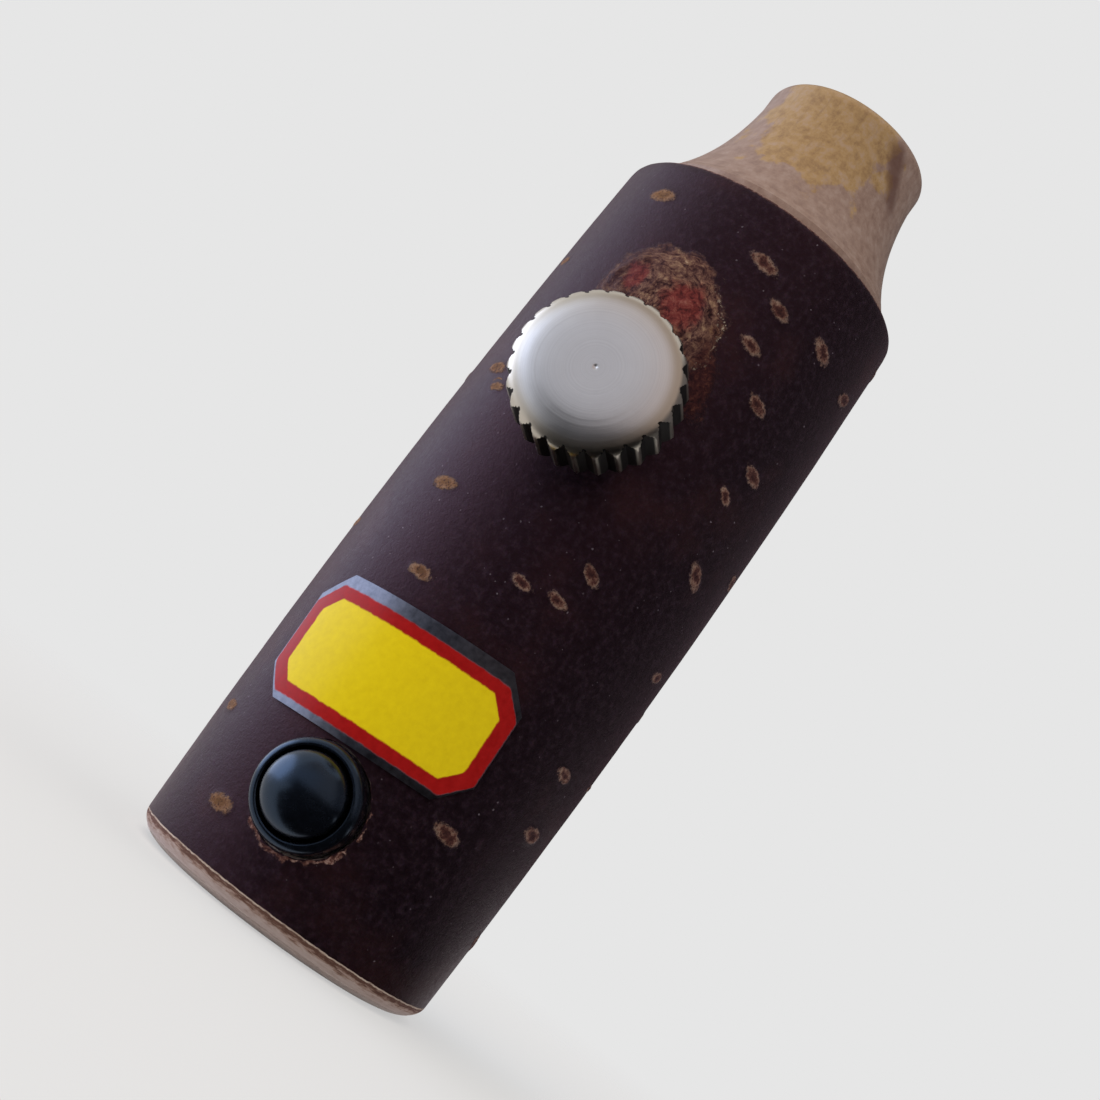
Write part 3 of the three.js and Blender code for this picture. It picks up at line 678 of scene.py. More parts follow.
# mouthpiece: turned from one piece of wood, with a cove between its shoulder and its lip
mouthSetup = {
    "shoulder": 10.9,  # mm, radii
    "neck": 7.2,
    "blow": 3.5,
    "tenon": 6.9,
    "corkFloor": 5.9,
    "corkFoot": 56.3,  # heights
    "corkTop": 60.3,
    "lip": 0.9,
    "tipLength": 2.5,
    "tipRound": 1.2,
    "coveEase": 0.6,
    "coveDrop": 3.9,
    "chamfer": 0.6,
    "row": 0.12,
    "shoulderEase": (0.15, 0.12),  # across, up
    "shoulderRows": 6,
    # height above the shoulder and depth of the lines that the tool left
    "turnedLines": [(0.55, 0.05), (1.0, 0.03), (1.5, 0.05), (2.3, 0.025), (3.4, 0.02)],
    "lineWidth": 0.13,
    "columns": 192,
    "ochreCentre": (-0.4, -3.9, 72.3),  # the stain lies to the front, from the lip down to the cove
    "ochreReach": 6.8,
    "streak": ((4.6, -2.2, 75), (6.5, -0.1, 70.5)),  # from the lip down the right side
    "streakWide": 0.9,
}


def makeMouthpiece(setup, material):
    foot, top = mouthLow.z / mm, mouthHigh.z / mm
    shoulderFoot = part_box("barrel_bark")[1].z / mm + woodSetup["gap"]
    coveStart = Vector((setup["shoulder"], shoulderFoot + setup["lip"]))
    coveBend = Vector((setup["neck"] + setup["coveEase"], coveStart.y + setup["coveDrop"]))
    coveEnd = Vector((setup["neck"], top - setup["tipLength"]))
    easeWide, easeHigh = setup["shoulderEase"]
    outline = [
        (setup["tenon"] - setup["chamfer"], foot),
        (setup["tenon"], foot + setup["chamfer"]),
        (setup["tenon"], setup["corkFoot"]),
        (setup["corkFloor"], setup["corkFoot"]),
        (setup["corkFloor"], setup["corkTop"]),
        (setup["tenon"], setup["corkTop"]),
        (setup["tenon"], shoulderFoot),
        (setup["shoulder"] - easeWide, shoulderFoot),
    ]
    for i in range(setup["shoulderRows"]):
        outline.append((setup["shoulder"], shoulderFoot + easeHigh + i * setup["row"]))
    rows = round((coveEnd.y - coveStart.y) / setup["row"])
    for i in range(rows + 1):
        t = i / rows
        point = coveStart * (1 - t) ** 2 + coveBend * 2 * t * (1 - t) + coveEnd * t ** 2
        outline.append((point.x - lineDepth(point.y - shoulderFoot, setup), point.y))
    tipCentre = (setup["neck"] - setup["tipRound"], top - setup["tipRound"])
    outline += arcPoints(tipCentre, (setup["tipRound"], setup["tipRound"]), 0, 90, 12)
    blow, chamfer = setup["blow"], setup["chamfer"]
    outline += [(blow + chamfer, top), (blow, top - chamfer), (blow, foot)]
    mouth = meshObject(turnOutline(outline, barrelAxis, upwards, setup["columns"]), "mouthpiece_turned")
    finishPiece(mouth, "mouthpiece", material)


# turned fruit wood, stained in patches and lacquered: ochre over grey-mauve, a brown streak and fine,
# mottled grain
def mouthMaterial(setup):
    material, add, shader, place = startMaterial(
        "turned fruit wood, satin lacquer", {"IOR": 1.5, "Specular IOR Level": 0.4}
    )
    cloud = add("TexNoise", {"Vector": place, "Scale": 1 / (2.4 * mm), "Detail": 4, "Roughness": 0.6})
    mottle = add("TexNoise", {"Vector": place, "Scale": 1 / (0.9 * mm), "Detail": 5, "Roughness": 0.65})
    grain = add("Mapping", {"Vector": place, "Scale": (1, 1, 0.14)})
    fibre = add("TexNoise", {"Vector": grain, "Scale": 1 / (0.35 * mm), "Detail": 4, "Roughness": 0.6})
    # ochre stain with a frayed edge, thinner where pink wood shows through
    ochreCentre = Vector(setup["ochreCentre"]) * mm
    spot = add("VectorMath", [place, ochreCentre], operation="DISTANCE")
    drift = add("MapRange", [cloud, 0.3, 0.7, -2 * mm, 2 * mm])
    frayed = add("Math", [mottle, 1.2 * mm, drift], operation="MULTIPLY_ADD")
    reach = add("Math", [spot, frayed], operation="ADD")
    ochreEdge = add(
        "MapRange", [reach, setup["ochreReach"] * mm, setup["ochreReach"] * 0.85 * mm, 0, 0.85],
        interpolation_type="SMOOTHSTEP",
    )
    thin = add("MapRange", [mottle, 0.5, 0.7, 1, 0.35])
    ochre = add("Math", [ochreEdge, thin], operation="MULTIPLY")
    mauve = add("ValToRGB", [mottle], stops=[(0.3, "#7d6256"), (0.7, "#9c857a"), (0.5, "#8e7467")])
    tan = add("ValToRGB", [mottle], stops=[(0.3, "#87663f"), (0.72, "#b49468"), (0.5, "#a28150")])
    wood = add("Mix", [ochre, mauve, tan], data_type="RGBA")
    # brown streak: near the line between its two ends
    streakTop, streakFoot = (Vector(end) * mm for end in setup["streak"])
    streakHalf = (streakFoot - streakTop) / 2
    offset = add("VectorMath", [place, streakTop + streakHalf], operation="SUBTRACT")
    along = add("VectorMath", [offset, streakHalf / streakHalf.length_squared], operation="DOT_PRODUCT")
    onLine = add("VectorMath", [streakHalf, along], operation="SCALE")
    aside = add("VectorMath", [offset, onLine], operation="DISTANCE")
    streakSide = add(
        "MapRange", [aside, setup["streakWide"] * 1.4 * mm, setup["streakWide"] * 0.3 * mm, 0, 1],
        interpolation_type="SMOOTHSTEP",
    )
    length = add("Math", [along], operation="ABSOLUTE")
    streakEnd = add("MapRange", [length, 1.4, 0.6, 0, 0.75], interpolation_type="SMOOTHSTEP")
    streakMask = add("Math", [streakSide, streakEnd], operation="MULTIPLY")
    streaked = add("Mix", [streakMask, wood, linear("#57342a")], data_type="RGBA")
    dark = add("MapRange", [fibre, 0.55, 0.75, 0, 0.35])
    grained = add("Mix", [dark, streaked, linear("#6b5142")], data_type="RGBA")
    satin = add("MapRange", [mottle, 0.3, 0.7, 0.38, 0.5])
    bump = add("Bump", {"Height": fibre, "Strength": 0.25, "Distance": 0.05 * mm})
    setInputs(shader, {"Base Color": grained, "Roughness": satin, "Normal": bump})
    return material


makeMouthpiece(mouthSetup, mouthMaterial(mouthSetup))


# knob: turned aluminium, a domed crown cut by the V teeth of its rim
knobSetup = {
    "radius": 6.15,  # mm
    "teeth": 26,
    "toothDepth": 0.45,
    "toothLand": 0.06,  # share of the pitch
    "columns": 8,  # to each tooth
    "pip": 0.18,
    "pipDepth": 0.06,
    "pipCurve": 0.7,  # share of the depth at half its radius
    "crownFlat": 1.9,
    "flatTurn": 1,  # degrees of slope where the dome starts
    "edge": 5.5,  # the dome ends here and the rim is rounded over
    "edgeTurn": 20,
    "crown": 1.75,
    "skirt": 2.6,
    "skirtChamfer": 0.15,
    "row": 0.1,
    "edgeRows": 12,
    "rimMargin": 0.05,  # notches follow the crown from this far below the rim
    "turnedLines": [(1.95, 0.006), (3.9, 0.005)],  # radius and depth of the lines that the tool left
    "lineWidth": 0.07,
    "hub": 3.2,
    "socket": 2.05,
    "socketDepth": 3.1,
    "edgeRound": 0.04,
}


# fall of the crown below its flat top
def crownFall(radius, setup=knobSetup):
    lines = lineDepth(radius, setup)
    if radius <= setup["crownFlat"]:
        return lines
    flatSlope, edgeSlope = (math.tan(math.radians(setup[turn])) for turn in ("flatTurn", "edgeTurn"))
    span = setup["edge"] - setup["crownFlat"]
    share = min(1, (radius - setup["crownFlat"]) / span)
    dome = span * (flatSlope * share + (edgeSlope - flatSlope) * share ** 3 / 3)
    if share < 1:
        return lines + dome
    wide = setup["radius"] - setup["edge"]
    t = 1 - math.sqrt(max(0, 1 - (radius - setup["edge"]) / wide))
    return dome * (1 - t) ** 2 + (dome + wide * edgeSlope) * 2 * t * (1 - t) + setup["crown"] * t ** 2


def toothReach(turn, setup=knobSetup):
    share = (turn / (2 * math.pi) * setup["teeth"]) % 1
    offset = 2 * min(share, 1 - share)
    land = setup["toothLand"]
    return setup["radius"] - setup["toothDepth"] * max(0, offset - land) / (1 - land)


def makeKnob(setup, material):
    top = (axisY - knobLow.y) / mm
    hubFoot = (axisY - knobHigh.y) / mm
    rim = top - setup["crown"]
    foot = rim - setup["skirt"]
    widest, edge, pip, pipDepth = (setup[name] for name in ("radius", "edge", "pip", "pipDepth"))
    outline = [(0, top - pipDepth), (pip / 2, top - pipDepth * setup["pipCurve"]), (pip, top)]
    rows, edgeRows = round((edge - pip) / setup["row"]), setup["edgeRows"]
    radii = [pip + (edge - pip) * i / rows for i in range(1, rows + 1)]
    radii += [widest - (widest - edge) * (1 - i / edgeRows) ** 2 for i in range(1, edgeRows + 1)]
    outline += [(radius, top - crownFall(radius)) for radius in radii]
    outline += [
        (widest, foot + setup["skirtChamfer"]),
        (widest - setup["skirtChamfer"], foot),
        (setup["hub"], foot),
        (setup["hub"], hubFoot),
        (setup["socket"], hubFoot),
        (setup["socket"], hubFoot + setup["socketDepth"]),
        (0, hubFoot + setup["socketDepth"]),
    ]
    shape = turnOutline(outline, screwAxis, outwards, setup["teeth"] * setup["columns"], closed=False)
    notchLayer = shape.verts.layers.float.new("notch")
    for v in shape.verts:
        spoke = Vector((v.co.x, 0, v.co.z - screwAxis.z))
        out = (axisY - v.co.y) / mm
        reach = toothReach(math.atan2(spoke.z, spoke.x))
        if spoke.length / mm > reach:
            v[notchLayer] = (widest - reach) / setup["toothDepth"]
            out = top - crownFall(reach) if out > rim - setup["rimMargin"] else out
            v.co = screwAxis + spoke.normalized() * reach * mm + outwards * out * mm
    bmesh.ops.remove_doubles(shape, verts=shape.verts, dist=0.002 * mm)
    bmesh.ops.recalc_face_normals(shape, faces=shape.faces)
    sharp = [edge for edge in shape.edges if edge.calc_face_angle(0) > math.radians(32)]
    roundEdges(shape, sharp, setup["edgeRound"])
    knob = meshObject(shape, "tuning_knob_turned")
    finishPiece(knob, "tuning_knob", material, smoothAngle=40)


# turned aluminium, satin, with the tool's fine rings, drawn 0.12 mm apart so that they show; painted shade
# darkens the notches, and painted shade with a warm tint darkens the rim
def knobMaterial():
    material, add, shader, place = startMaterial("turned aluminium, satin", {"Metallic": 1.0})
    axes = add("SeparateXYZ", [place])
    rise = add("Math", [axes.outputs["Z"], screwAxis.z], operation="SUBTRACT")
    flat = add("CombineXYZ", [axes.outputs["X"], rise])
    reach = add("VectorMath", [flat], operation="LENGTH")
    rings = add(
        "TexNoise", {"W": reach, "Scale": 1 / (0.12 * mm), "Detail": 3, "Roughness": 0.6},
        noise_dimensions="1D",
    )
    haze = add("TexNoise", {"Vector": place, "Scale": 1 / (3 * mm), "Detail": 4})
    tone = add("Mix", [0.5, rings, haze])
    colour = add("ValToRGB", [tone], stops=[(0.3, "#e2dfde"), (0.7, "#efedec")])
    notch = add("Attribute", attribute_name="notch")
    # painted shade: the notches' walls are darkened towards black
    notchShadeMask = add("MapRange", [notch.outputs["Fac"], 0.05, 0.28, 0, 0.95])
    # painted shade with a warm painted reflection tint all round the rim, which tones down its highlight
    rimShadeMask = add("MapRange", [reach, 4.7 * mm, 5.5 * mm, 0, 1], interpolation_type="SMOOTHSTEP")
    rimShaded = add("Mix", [rimShadeMask, colour, linear("#c4bbae")], data_type="RGBA")
    notchShaded = add("Mix", [notchShadeMask, rimShaded, linear("#19171b")], data_type="RGBA")
    satin = add("MapRange", [tone, 0.3, 0.7, 0.28, 0.38])
    rough = add("Mix", [notchShadeMask, satin, 0.6])
    bump = add("Bump", {"Height": rings, "Strength": 0.1, "Distance": 0.03 * mm})
    setInputs(shader, {"Base Color": notchShaded, "Roughness": rough, "Normal": bump})
    return material


makeKnob(knobSetup, knobMaterial())


# tone button: a domed cap that slides in a stepped ring
buttonSetup = {
    "capRadius": 2.95,  # mm
    "capRise": 1.8,
    "capChamfer": 0.1,
    "stemSocket": 1.1,
    "stemSocketDepth": 2.5,
    "flange": 3.9,
    "flangeRound": (0.55, 0.75),
    "flangeDepth": 3.15,
    "bush": 3.5,
    "capBore": 3.25,
    "capBoreDrop": 0.05,  # its edge lies this far below the ring's top
    "stemHole": 1.3,
    "floor": 0.7,
    "columns": 128,
}


def makeButton(setup, material):
    capTop = (axisY - capLow.y) / mm
    capFoot = (axisY - capHigh.y) / mm
    spring = capTop - setup["capRise"]
    outline = arcPoints((0, spring), (setup["capRadius"], setup["capRise"]), 90, 0, 28)
    outline[0] = (0, capTop)
    outline += [
        (setup["capRadius"], capFoot + setup["capChamfer"]),
        (setup["capRadius"] - setup["capChamfer"], capFoot),
        (setup["stemSocket"], capFoot),
        (setup["stemSocket"], capFoot + setup["stemSocketDepth"]),
        (0, capFoot + setup["stemSocketDepth"]),
    ]
    shape = turnOutline(outline, buttonAxis, outwards, setup["columns"], closed=False)
    finishPiece(meshObject(shape, "button_cap_dome"), "button_cap", material)
    bushLow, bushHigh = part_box("button_bush")
    top = (axisY - bushLow.y) / mm
    foot = (axisY - bushHigh.y) / mm
    roundWide, roundHigh = setup["flangeRound"]
    outline = [
        (setup["stemHole"], foot),
        (setup["bush"], foot),
        (setup["bush"], top - setup["flangeDepth"]),
        (setup["flange"], top - setup["flangeDepth"]),
    ]
    outline += arcPoints((setup["flange"] - roundWide, top - roundHigh), setup["flangeRound"], 0, 90, 12)
    outline += [
        (setup["capBore"], top - setup["capBoreDrop"]),
        (setup["capBore"], foot + setup["floor"]),
        (setup["stemHole"], foot + setup["floor"]),
    ]
    shape = turnOutline(outline, buttonAxis, outwards, setup["columns"])
    finishPiece(meshObject(shape, "button_bush_ring"), "button_bush", material)


# black plastic moulded and handled: a blue gloss on black, with faint rub marks
def buttonMaterial():
    material, add, shader, place = startMaterial(
        "black plastic, moulded gloss",
        {"IOR": 1.53, "Specular IOR Level": 0.75, "Specular Tint": linear("#aed0fb")},
    )
    rub = add("TexNoise", {"Vector": place, "Scale": 1 / (0.7 * mm), "Detail": 6, "Roughness": 0.7})
    colour = add("ValToRGB", [rub], stops=[(0.3, "#06070b"), (0.7, "#0d0f15")])
    gloss = add("MapRange", [rub, 0.3, 0.7, 0.2, 0.3])
    bump = add("Bump", {"Height": rub, "Strength": 0.1, "Distance": 0.02 * mm})
    setInputs(shader, {"Base Color": colour, "Roughness": gloss, "Normal": bump})
    return material


makeButton(buttonSetup, buttonMaterial())


# label: a blank sticker bent round the bark, red border and yellow panel on bare foil
labelSetup = {
    "size": (18.1, 10.2),  # mm
    "corner": 2.2,
    "thickness": 0.2,
    "lift": 0.1,
    "shift": -0.5,
    "tilt": 2.7,  # degrees, stuck on a little askew
    "cells": (90, 52),
    "printShift": -0.22,  # the print sits low on the foil
    "redHalf": (8.98, 4.35),
    "redCorner": 1.8,
    "yellowHalf": (7.8, 3.42),
    "yellowCorner": 1.3,
}


def makeLabel(setup, material):
    labelLow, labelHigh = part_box("label")
    middle = (labelLow.z + labelHigh.z) / 2 / mm
    wide, high = setup["size"]
    shape = bmesh.new()
    bmesh.ops.create_grid(shape, x_segments=setup["cells"][0], y_segments=setup["cells"][1], size=0.5)
    bmesh.ops.scale(shape, vec=(wide, high, 1), verts=shape.verts)
    for sideX in (-1, 1):
        for sideY in (-1, 1):
            corner = Vector((sideX * wide / 2, sideY * (high / 2 - setup["corner"]), 0))
            bmesh.ops.bisect_plane(
                shape, geom=shape.verts[:] + shape.edges[:] + shape.faces[:], plane_co=corner,
                plane_no=(sideX, sideY, 0), clear_outer=True,
            )
    bmesh.ops.solidify(shape, geom=shape.faces[:], thickness=setup["thickness"])
    lowest = min(v.co.z for v in shape.verts)
    sheetLayer = shape.verts.layers.float_vector.new("sheet")
    tilt = Quaternion((0, 0, 1), math.radians(setup["tilt"]))
    for v in shape.verts:
        v[sheetLayer] = v.co
        placed = tilt @ v.co
        height = middle + placed.y
        reach = barkRadius(height) + setup["lift"] + v.co.z - lowest
        turn = (placed.x + setup["shift"]) / barkRadius(middle)
        v.co = Vector((math.sin(turn) * reach, axisY / mm - math.cos(turn) * reach, height)) * mm
    bmesh.ops.recalc_face_normals(shape, faces=shape.faces)
    finishPiece(meshObject(shape, "label_sticker"), "label", material)


# printed foil: bare aluminium at its margins, semi-gloss red and yellow ink on the rest
def labelMaterial(setup):
    material, add, shader, place = startMaterial(
        "printed aluminium foil, semi-gloss", {"IOR": 1.5, "Specular IOR Level": 0.15}
    )
    sheet = add("Attribute", attribute_name="sheet")
    placed = add("VectorMath", [sheet.outputs["Vector"], (0, setup["printShift"], 0)], operation="SUBTRACT")
    fold = add("VectorMath", [placed], operation="ABSOLUTE")
    axes = add("SeparateXYZ", [fold])
    ink = add("TexNoise", {"Vector": place, "Scale": 1 / (0.5 * mm), "Detail": 5, "Roughness": 0.6})
    fray = add("MapRange", [ink, 0.3, 0.7, -0.05, 0.05])
    masks = []
    for ground in ("red", "yellow"):
        half, corner = setup[ground + "Half"], setup[ground + "Corner"]
        across = add("Math", [axes.outputs[0], half[0]], operation="SUBTRACT")
        upward = add("Math", [axes.outputs[1], half[1]], operation="SUBTRACT")
        both = add("Math", [across, upward], operation="ADD")
        slant = add("Math", [both, corner], operation="ADD")
        box = add("Math", [across, upward], operation="MAXIMUM")
        edge = add("Math", [box, slant, 0.2], operation="SMOOTH_MAX")
        worn = add("Math", [edge, fray], operation="ADD")
        masks.append(add("MapRange", [worn, 0.06, -0.06, 0, 1]))
    redMask, yellowMask = masks
    foil = add("ValToRGB", [ink], stops=[(0.3, "#53545d"), (0.7, "#6f707b")])
    red = add("ValToRGB", [ink], stops=[(0.3, "#920504"), (0.7, "#a60a08")])
    yellow = add("ValToRGB", [ink], stops=[(0.3, "#dcc000"), (0.7, "#e5cb00")])
    bordered = add("Mix", [redMask, foil, red], data_type="RGBA")
    printed = add("Mix", [yellowMask, bordered, yellow], data_type="RGBA")
    bare = add("Math", [1.0, redMask], operation="SUBTRACT")
    gloss = add("MapRange", [ink, 0.3, 0.7, 0.28, 0.4])
    crinkle = add("TexNoise", {"Vector": place, "Scale": 1 / (2.5 * mm), "Detail": 3})
    bump = add("Bump", {"Height": crinkle, "Strength": 0.15, "Distance": 0.1 * mm})
    setInputs(shader, {"Base Color": printed, "Metallic": bare, "Roughness": gloss, "Normal": bump})
    return material


makeLabel(labelSetup, labelMaterial(labelSetup))


# inner works: the nodes' own shapes with their edges eased, in their real materials
innerSetup = {
    "mouthpiece_cork": ("cork", 0.12),  # material, then how far the edges are rounded, mm
    "reed_cork": ("cork", 0.12),
    "reed_wedge": ("cork", 0.1),
    "reed_body": ("reedWood", 0.1),
    "reed_tongue": ("brass", 0.04),
    "screw_insert": ("brass", 0.1),
    "pressure_shoe": ("brass", 0.08),
    "button_stem": ("brass", 0.06),
    "damper_plate": ("brass", 0.08),
    "friction_ring": ("rubber", 0.0),
    "damper_pad": ("felt", 0.25),
}


def makeInner(node, material, edgeRound):
    shape = bmesh.new()
    shape.from_mesh(frame["nodes"][node].data)
    bmesh.ops.remove_doubles(shape, verts=shape.verts, dist=0.001 * mm)
    bmesh.ops.dissolve_limit(
        shape, angle_limit=math.radians(0.4), verts=shape.verts[:], edges=shape.edges[:]
    )
    sharp = [edge for edge in shape.edges if edge.calc_face_angle(0) > math.radians(38)]
    if edgeRound and sharp:
        roundEdges(shape, sharp, edgeRound)
    finishPiece(meshObject(shape, node + "_finished"), node, material)


# a mottled finish: two tones that meet over a real grain size, with its own roughness and bump
def grainMaterial(name, tones, grain, rough, bumpDepth, metallic=0.0, stretch=(1, 1, 1)):
    material, add, shader, place = startMaterial(name, {"Metallic": metallic})
    laid = add("Mapping", {"Vector": place, "Scale": stretch})
    spots = add("TexNoise", {"Vector": laid, "Scale": 1 / (grain * mm), "Detail": 5, "Roughness": 0.65})
    colour = add("ValToRGB", [spots], stops=[(0.32, tones[0]), (0.68, tones[1])])
    sheen = add("MapRange", [spots, 0.3, 0.7, rough[0], rough[1]])
    bump = add("Bump", {"Height": spots, "Strength": 0.4, "Distance": bumpDepth * mm})
    setInputs(shader, {"Base Color": colour, "Roughness": sheen, "Normal": bump})
    return material


innerMaterials = {
    # cork cut to rings: matt, brown flecks in tan
    "cork": grainMaterial("cork, cut", ("#6e4a2c", "#b98a58"), 0.7, (0.8, 0.95), 0.15),
    # dark hardwood turned and oiled: fibres along the barrel
    "reedWood": grainMaterial(
        "hardwood, turned and oiled", ("#4a2c1c", "#7a4c30"), 0.4, (0.42, 0.55), 0.06, stretch=(1, 1, 0.1)
    ),
    # brass turned bright: a warm, clear gloss
    "brass": grainMaterial("brass, turned", ("#b18a45", "#cda65a"), 0.5, (0.22, 0.34), 0.02, 1.0),
    # rubber moulded: matt black
    "rubber": grainMaterial("rubber, moulded", ("#101011", "#1c1c1e"), 0.3, (0.6, 0.75), 0.03),
    # wool felt pressed: dark green, no gloss
    "felt": grainMaterial("wool felt, pressed", ("#26301f", "#44513a"), 0.25, (0.9, 1.0), 0.2),
    # steel rolled or drawn bright: grey, clear gloss
    "steel": grainMaterial("steel, drawn bright", ("#8f9193", "#b3b5b8"), 0.4, (0.2, 0.32), 0.02, 1.0),
}
for node, (finish, edgeRound) in innerSetup.items():
    makeInner(node, innerMaterials[finish], edgeRound)


# screw shank: a right-hand thread, which the knob carries
shankSetup = {
    "radius": 1.95,  # mm
    "pitch": 0.7,
    "threadDepth": 0.38,
    "flank": 1.25,  # how steeply the thread's sides fall
    "plainTip": 0.6,
    "tipDrop": 0.3,
    "row": 0.07,
    "columns": 40,
}


def makeShank(setup, material):
    low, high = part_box("tuning_shank")
    foot, top = (axisY - high.y) / mm, (axisY - low.y) / mm
    rows = round((top - foot) / setup["row"])
    side = [(setup["radius"], foot + (top - foot) * i / rows) for i in range(rows + 1)]
    outline = [(0, foot)] + side + [(0, top)]
    shape = turnOutline(outline, screwAxis, outwards, setup["columns"], closed=False)
    for v in shape.verts:
        spoke = Vector((v.co.x, 0, v.co.z - screwAxis.z))
        if spoke.length < 1e-6:
            continue
        out = (axisY - v.co.y) / mm
        share = (out / setup["pitch"] - math.atan2(spoke.z, spoke.x) / (2 * math.pi)) % 1
        cut = setup["threadDepth"] * min(1, setup["flank"] * abs(2 * share - 1))
        ease = smoothStep(foot, foot + setup["plainTip"], out)
        v.co -= spoke.normalized() * (cut * ease + setup["tipDrop"] * (1 - ease)) * mm
    finishPiece(meshObject(shape, "tuning_shank_threaded"), "tuning_shank", material)


makeShank(shankSetup, innerMaterials["steel"])


# return spring: a round wire wound open, which shortens as the button goes in
springSetup = {
    "radius": 1.92,  # mm, at the middle of the wire
    "wire": 0.2,
    "wireSides": 12,
    "turns": 3,
    "stepsPerTurn": 40,
    "travel": 1.2,
}


def makeSpring(setup, material):
    low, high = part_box("button_spring")
    start = buttonAxis + Vector((setup["radius"] * mm, high.y - axisY - setup["wire"] * mm, 0))
    shape = bmesh.new()
    wire = bmesh.ops.create_circle(
        shape, cap_ends=True, segments=setup["wireSides"], radius=setup["wire"] * mm
    )
    bmesh.ops.translate(shape, verts=wire["verts"], vec=start)
    climb = (high.y - low.y) - 2 * setup["wire"] * mm
    steps = setup["turns"] * setup["stepsPerTurn"]
    bmesh.ops.spin(
        shape, geom=shape.verts[:] + shape.edges[:] + shape.faces[:], cent=buttonAxis, axis=outwards,
        angle=2 * math.pi * setup["turns"], steps=steps, dvec=outwards * climb / steps,
    )
    bmesh.ops.remove_doubles(shape, verts=shape.verts, dist=1e-7)
    bmesh.ops.recalc_face_normals(shape, faces=shape.faces)
    spring = meshObject(shape, "button_spring_wound")
    finishPiece(spring, "button_spring", material, smoothAngle=60)
    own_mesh(spring)


makeSpring(springSetup, innerMaterials["steel"])


# floor and light
stageSetup = {
    "background": "#e6e6e6",
    "floorRadius": 160,  # mm
    "floorClear": 45,  # the floor fades from here to its edge
    "shadowShare": 0.4,  # how much of the floor's own light and shadow the picture keeps
    "bounce": "#cccccc",  # what the floor sends back on to the call
    "ambient": 0.85,
}
lampSetup = {
    "window": {
        "place": (-395, -50, 80), "size": (560, 340), "watts": 1.15, "colour": "#cfdfff", "inGloss": True
    },
    "ceiling": {
        "place": (-150, -240, 460), "size": (600, 500), "watts": 1.0, "colour": "#ffe9cc", "inGloss": False
    },
}
# cloth seen only in reflections (it casts no shadow and sends no diffuse light), so its tones are painted
# reflections:
# a bend, pale in front and grey behind, with a black foot and open to the window, and a black sheet in front
# for dark ones
clothSetup = {
    "cool": "#d9dde6",
    "warm": "#cabbb2",
    "warmFrom": (-90, 60),  # mm, towards the right
    "warmTop": (120, 260),  # and upwards
    "grey": "#6b696b",
    "greyFrom": (-180, -60),  # towards the back
    "black": "#0c0c0e",
    "blackTop": (50, 60),
    "blackFrom": (-130, -90),  # towards the right
    "bendRadius": 230,  # about the barrel
    "bendTurns": (-45, 228),  # degrees from the knob's side
    "bendHeight": 520,
    "bendSteps": 32,
    "sheetRise": 0.4,
    "sheetCorners": [(4, -10), (-16, -28), (-32, -60), (-110, -260), (200, -260), (200, 20), (30, 20)],
}


def addLamp(name, setup):
    lamp = bpy.data.lights.new(name, "AREA")
    lamp.shape = "ELLIPSE"
    lamp.size, lamp.size_y = (side * mm for side in setup["size"])
    lamp.energy = setup["watts"]
    lamp.color = linear(setup["colour"])[:3]
    holder = bpy.data.objects.new(name, lamp)
    bpy.context.scene.collection.objects.link(holder)
    holder.location = Vector(setup["place"]) * mm
    target = barrelAxis + upwards * viewSetup["lookAt"] * mm
    holder.rotation_mode = "QUATERNION"
    holder.rotation_quaternion = (target - holder.location).to_track_quat("-Z", "Y")
    holder.visible_camera = False
    holder.visible_glossy = setup["inGloss"]


# 1 for rays that show the background itself: from the camera, and by way of gloss or glass
def seenRays(add):
    rays = add("LightPath").outputs
    gloss = add("Math", [rays["Is Glossy Ray"], rays["Is Transmission Ray"]], operation="MAXIMUM")
    return add("Math", [rays["Is Camera Ray"], gloss], operation="MAXIMUM")


def makeStage(setup):
    world = bpy.data.worlds.new("pale studio")
    bpy.context.scene.world = world
    world.use_nodes = True
    add = partial(addNode, world.node_tree)
    strength = add("Mix", [seenRays(add), setup["ambient"], 1.0])
    background = linear(setup["background"])
    setInputs(world.node_tree.nodes["Background"], {"Color": background, "Strength": strength})

    shape = bmesh.new()
    bmesh.ops.create_circle(shape, cap_ends=True, segments=96, radius=setup["floorRadius"] * mm)
    floor = meshObject(shape, "floor")
    material = bpy.data.materials.new("pale paper sweep")
    material.use_nodes = True
    material.node_tree.nodes.clear()
    add = partial(addNode, material.node_tree)
    reach = add("VectorMath", [add("TexCoord").outputs["Object"]], operation="LENGTH")
    fade = add(
        "MapRange", [reach, setup["floorClear"] * mm, setup["floorRadius"] * mm, 0, 1],
        interpolation_type="SMOOTHSTEP",
    )
    seen = seenRays(add)
    tone = add("Mix", [seen, linear(setup["bounce"]), background], data_type="RGBA")
    paper = add("BsdfDiffuse", {"Color": tone})
    glow = add("Emission", {"Color": background, "Strength": 1})
    share = add("Math", [seen, 1 - setup["shadowShare"]], operation="MULTIPLY")
    lit = add("MixShader", [share, paper, glow])
    clear = add("BsdfTransparent")
    faded = add("MixShader", [fade, lit, clear])
    add("OutputMaterial", {"Surface": faded})
    floor.data.materials.append(material)


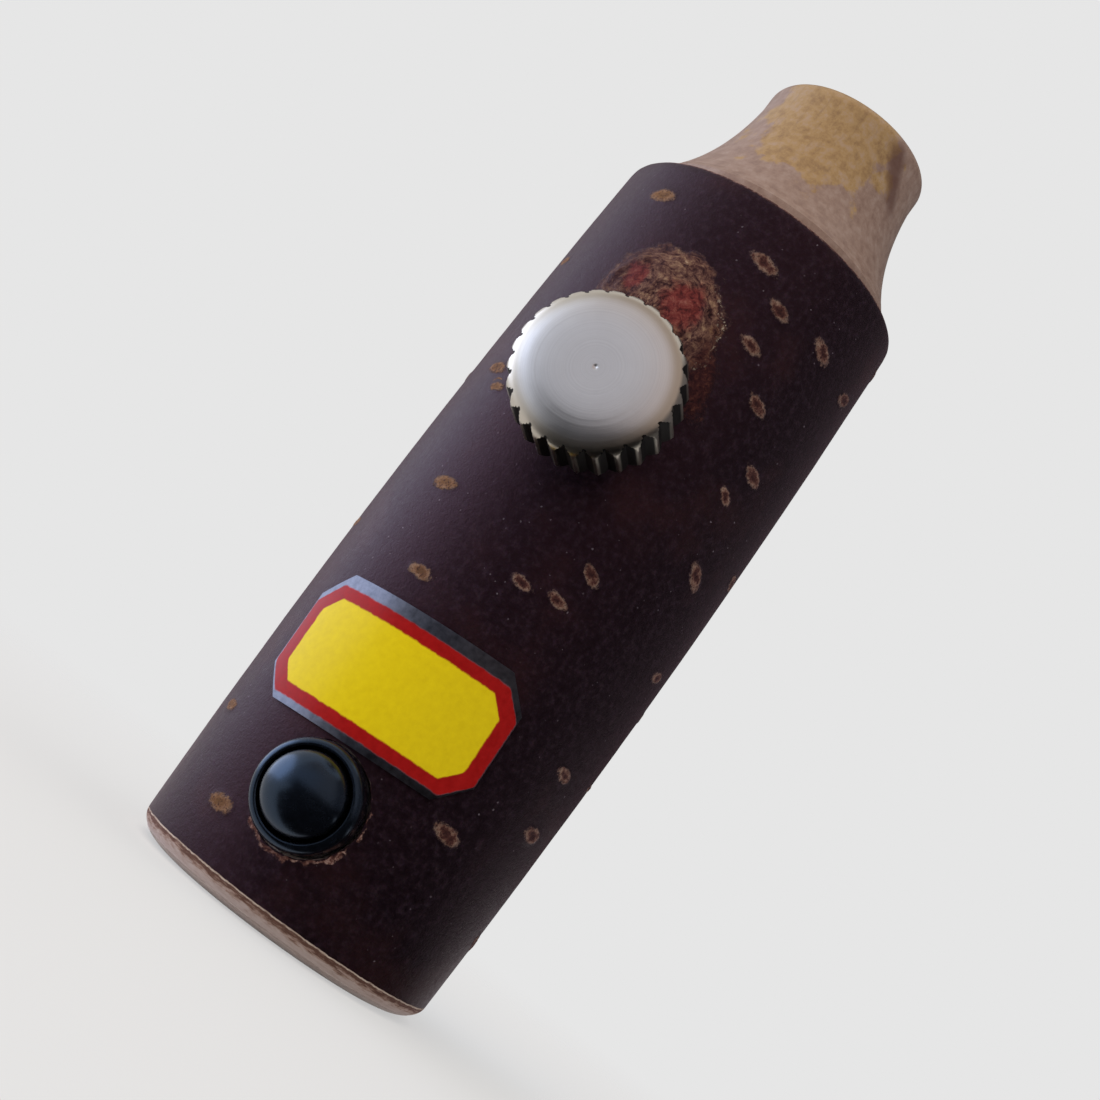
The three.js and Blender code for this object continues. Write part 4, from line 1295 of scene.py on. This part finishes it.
def hangCloth(setup):
    shape = bmesh.new()
    fromTurn, toTurn = (math.radians(turn) for turn in setup["bendTurns"])
    start = barrelAxis + Vector((math.sin(fromTurn), -math.cos(fromTurn), 0)) * setup["bendRadius"] * mm
    hem = [shape.verts.new(start), shape.verts.new(start + upwards * setup["bendHeight"] * mm)]
    edge = shape.edges.new(hem)
    bmesh.ops.spin(
        shape, geom=hem + [edge], cent=barrelAxis, axis=upwards, angle=toTurn - fromTurn,
        steps=setup["bendSteps"], use_merge=False,
    )
    bend = meshObject(shape, "cloth_bend")
    shape = bmesh.new()
    corners = [Vector((x, y, setup["sheetRise"])) * mm for x, y in setup["sheetCorners"]]
    shape.faces.new([shape.verts.new(corner) for corner in corners])
    sheet = meshObject(shape, "cloth_sheet")
    material, add, shader, place = startMaterial(
        "reflection card, painted reflections", {"Roughness": 1.0, "Specular IOR Level": 0.0}
    )
    axes = add("SeparateXYZ", [place])
    fade = {}
    fadeSides = {"warmFrom": "X", "warmTop": "Z", "greyFrom": "Y", "blackTop": "Z", "blackFrom": "X"}
    for name, side in fadeSides.items():
        low, high = (reach * mm for reach in setup[name])
        fade[name] = add("MapRange", [axes.outputs[side], low, high, 0, 1])
    warmth = add("Math", [fade["warmFrom"], fade["warmTop"]], operation="MAXIMUM")
    pale = add("Mix", [warmth, linear(setup["cool"]), linear(setup["warm"])], data_type="RGBA")
    hung = add("Mix", [fade["greyFrom"], pale, linear(setup["grey"])], data_type="RGBA")
    low = add("Math", [1.0, fade["blackTop"]], operation="SUBTRACT")
    footed = add("Math", [low, fade["blackFrom"]], operation="MULTIPLY")
    # the tones that the glossy pieces show as painted reflections
    reflectionTone = add("Mix", [footed, hung, linear(setup["black"])], data_type="RGBA")
    setInputs(shader, {"Base Color": reflectionTone})
    for cloth in (bend, sheet):
        cloth.data.materials.append(material)
        cloth.visible_camera = False
        cloth.visible_diffuse = False
        cloth.visible_shadow = False


makeStage(stageSetup)
hangCloth(clothSetup)
for lampName, setup in lampSetup.items():
    addLamp(lampName, setup)
print("stage lit")
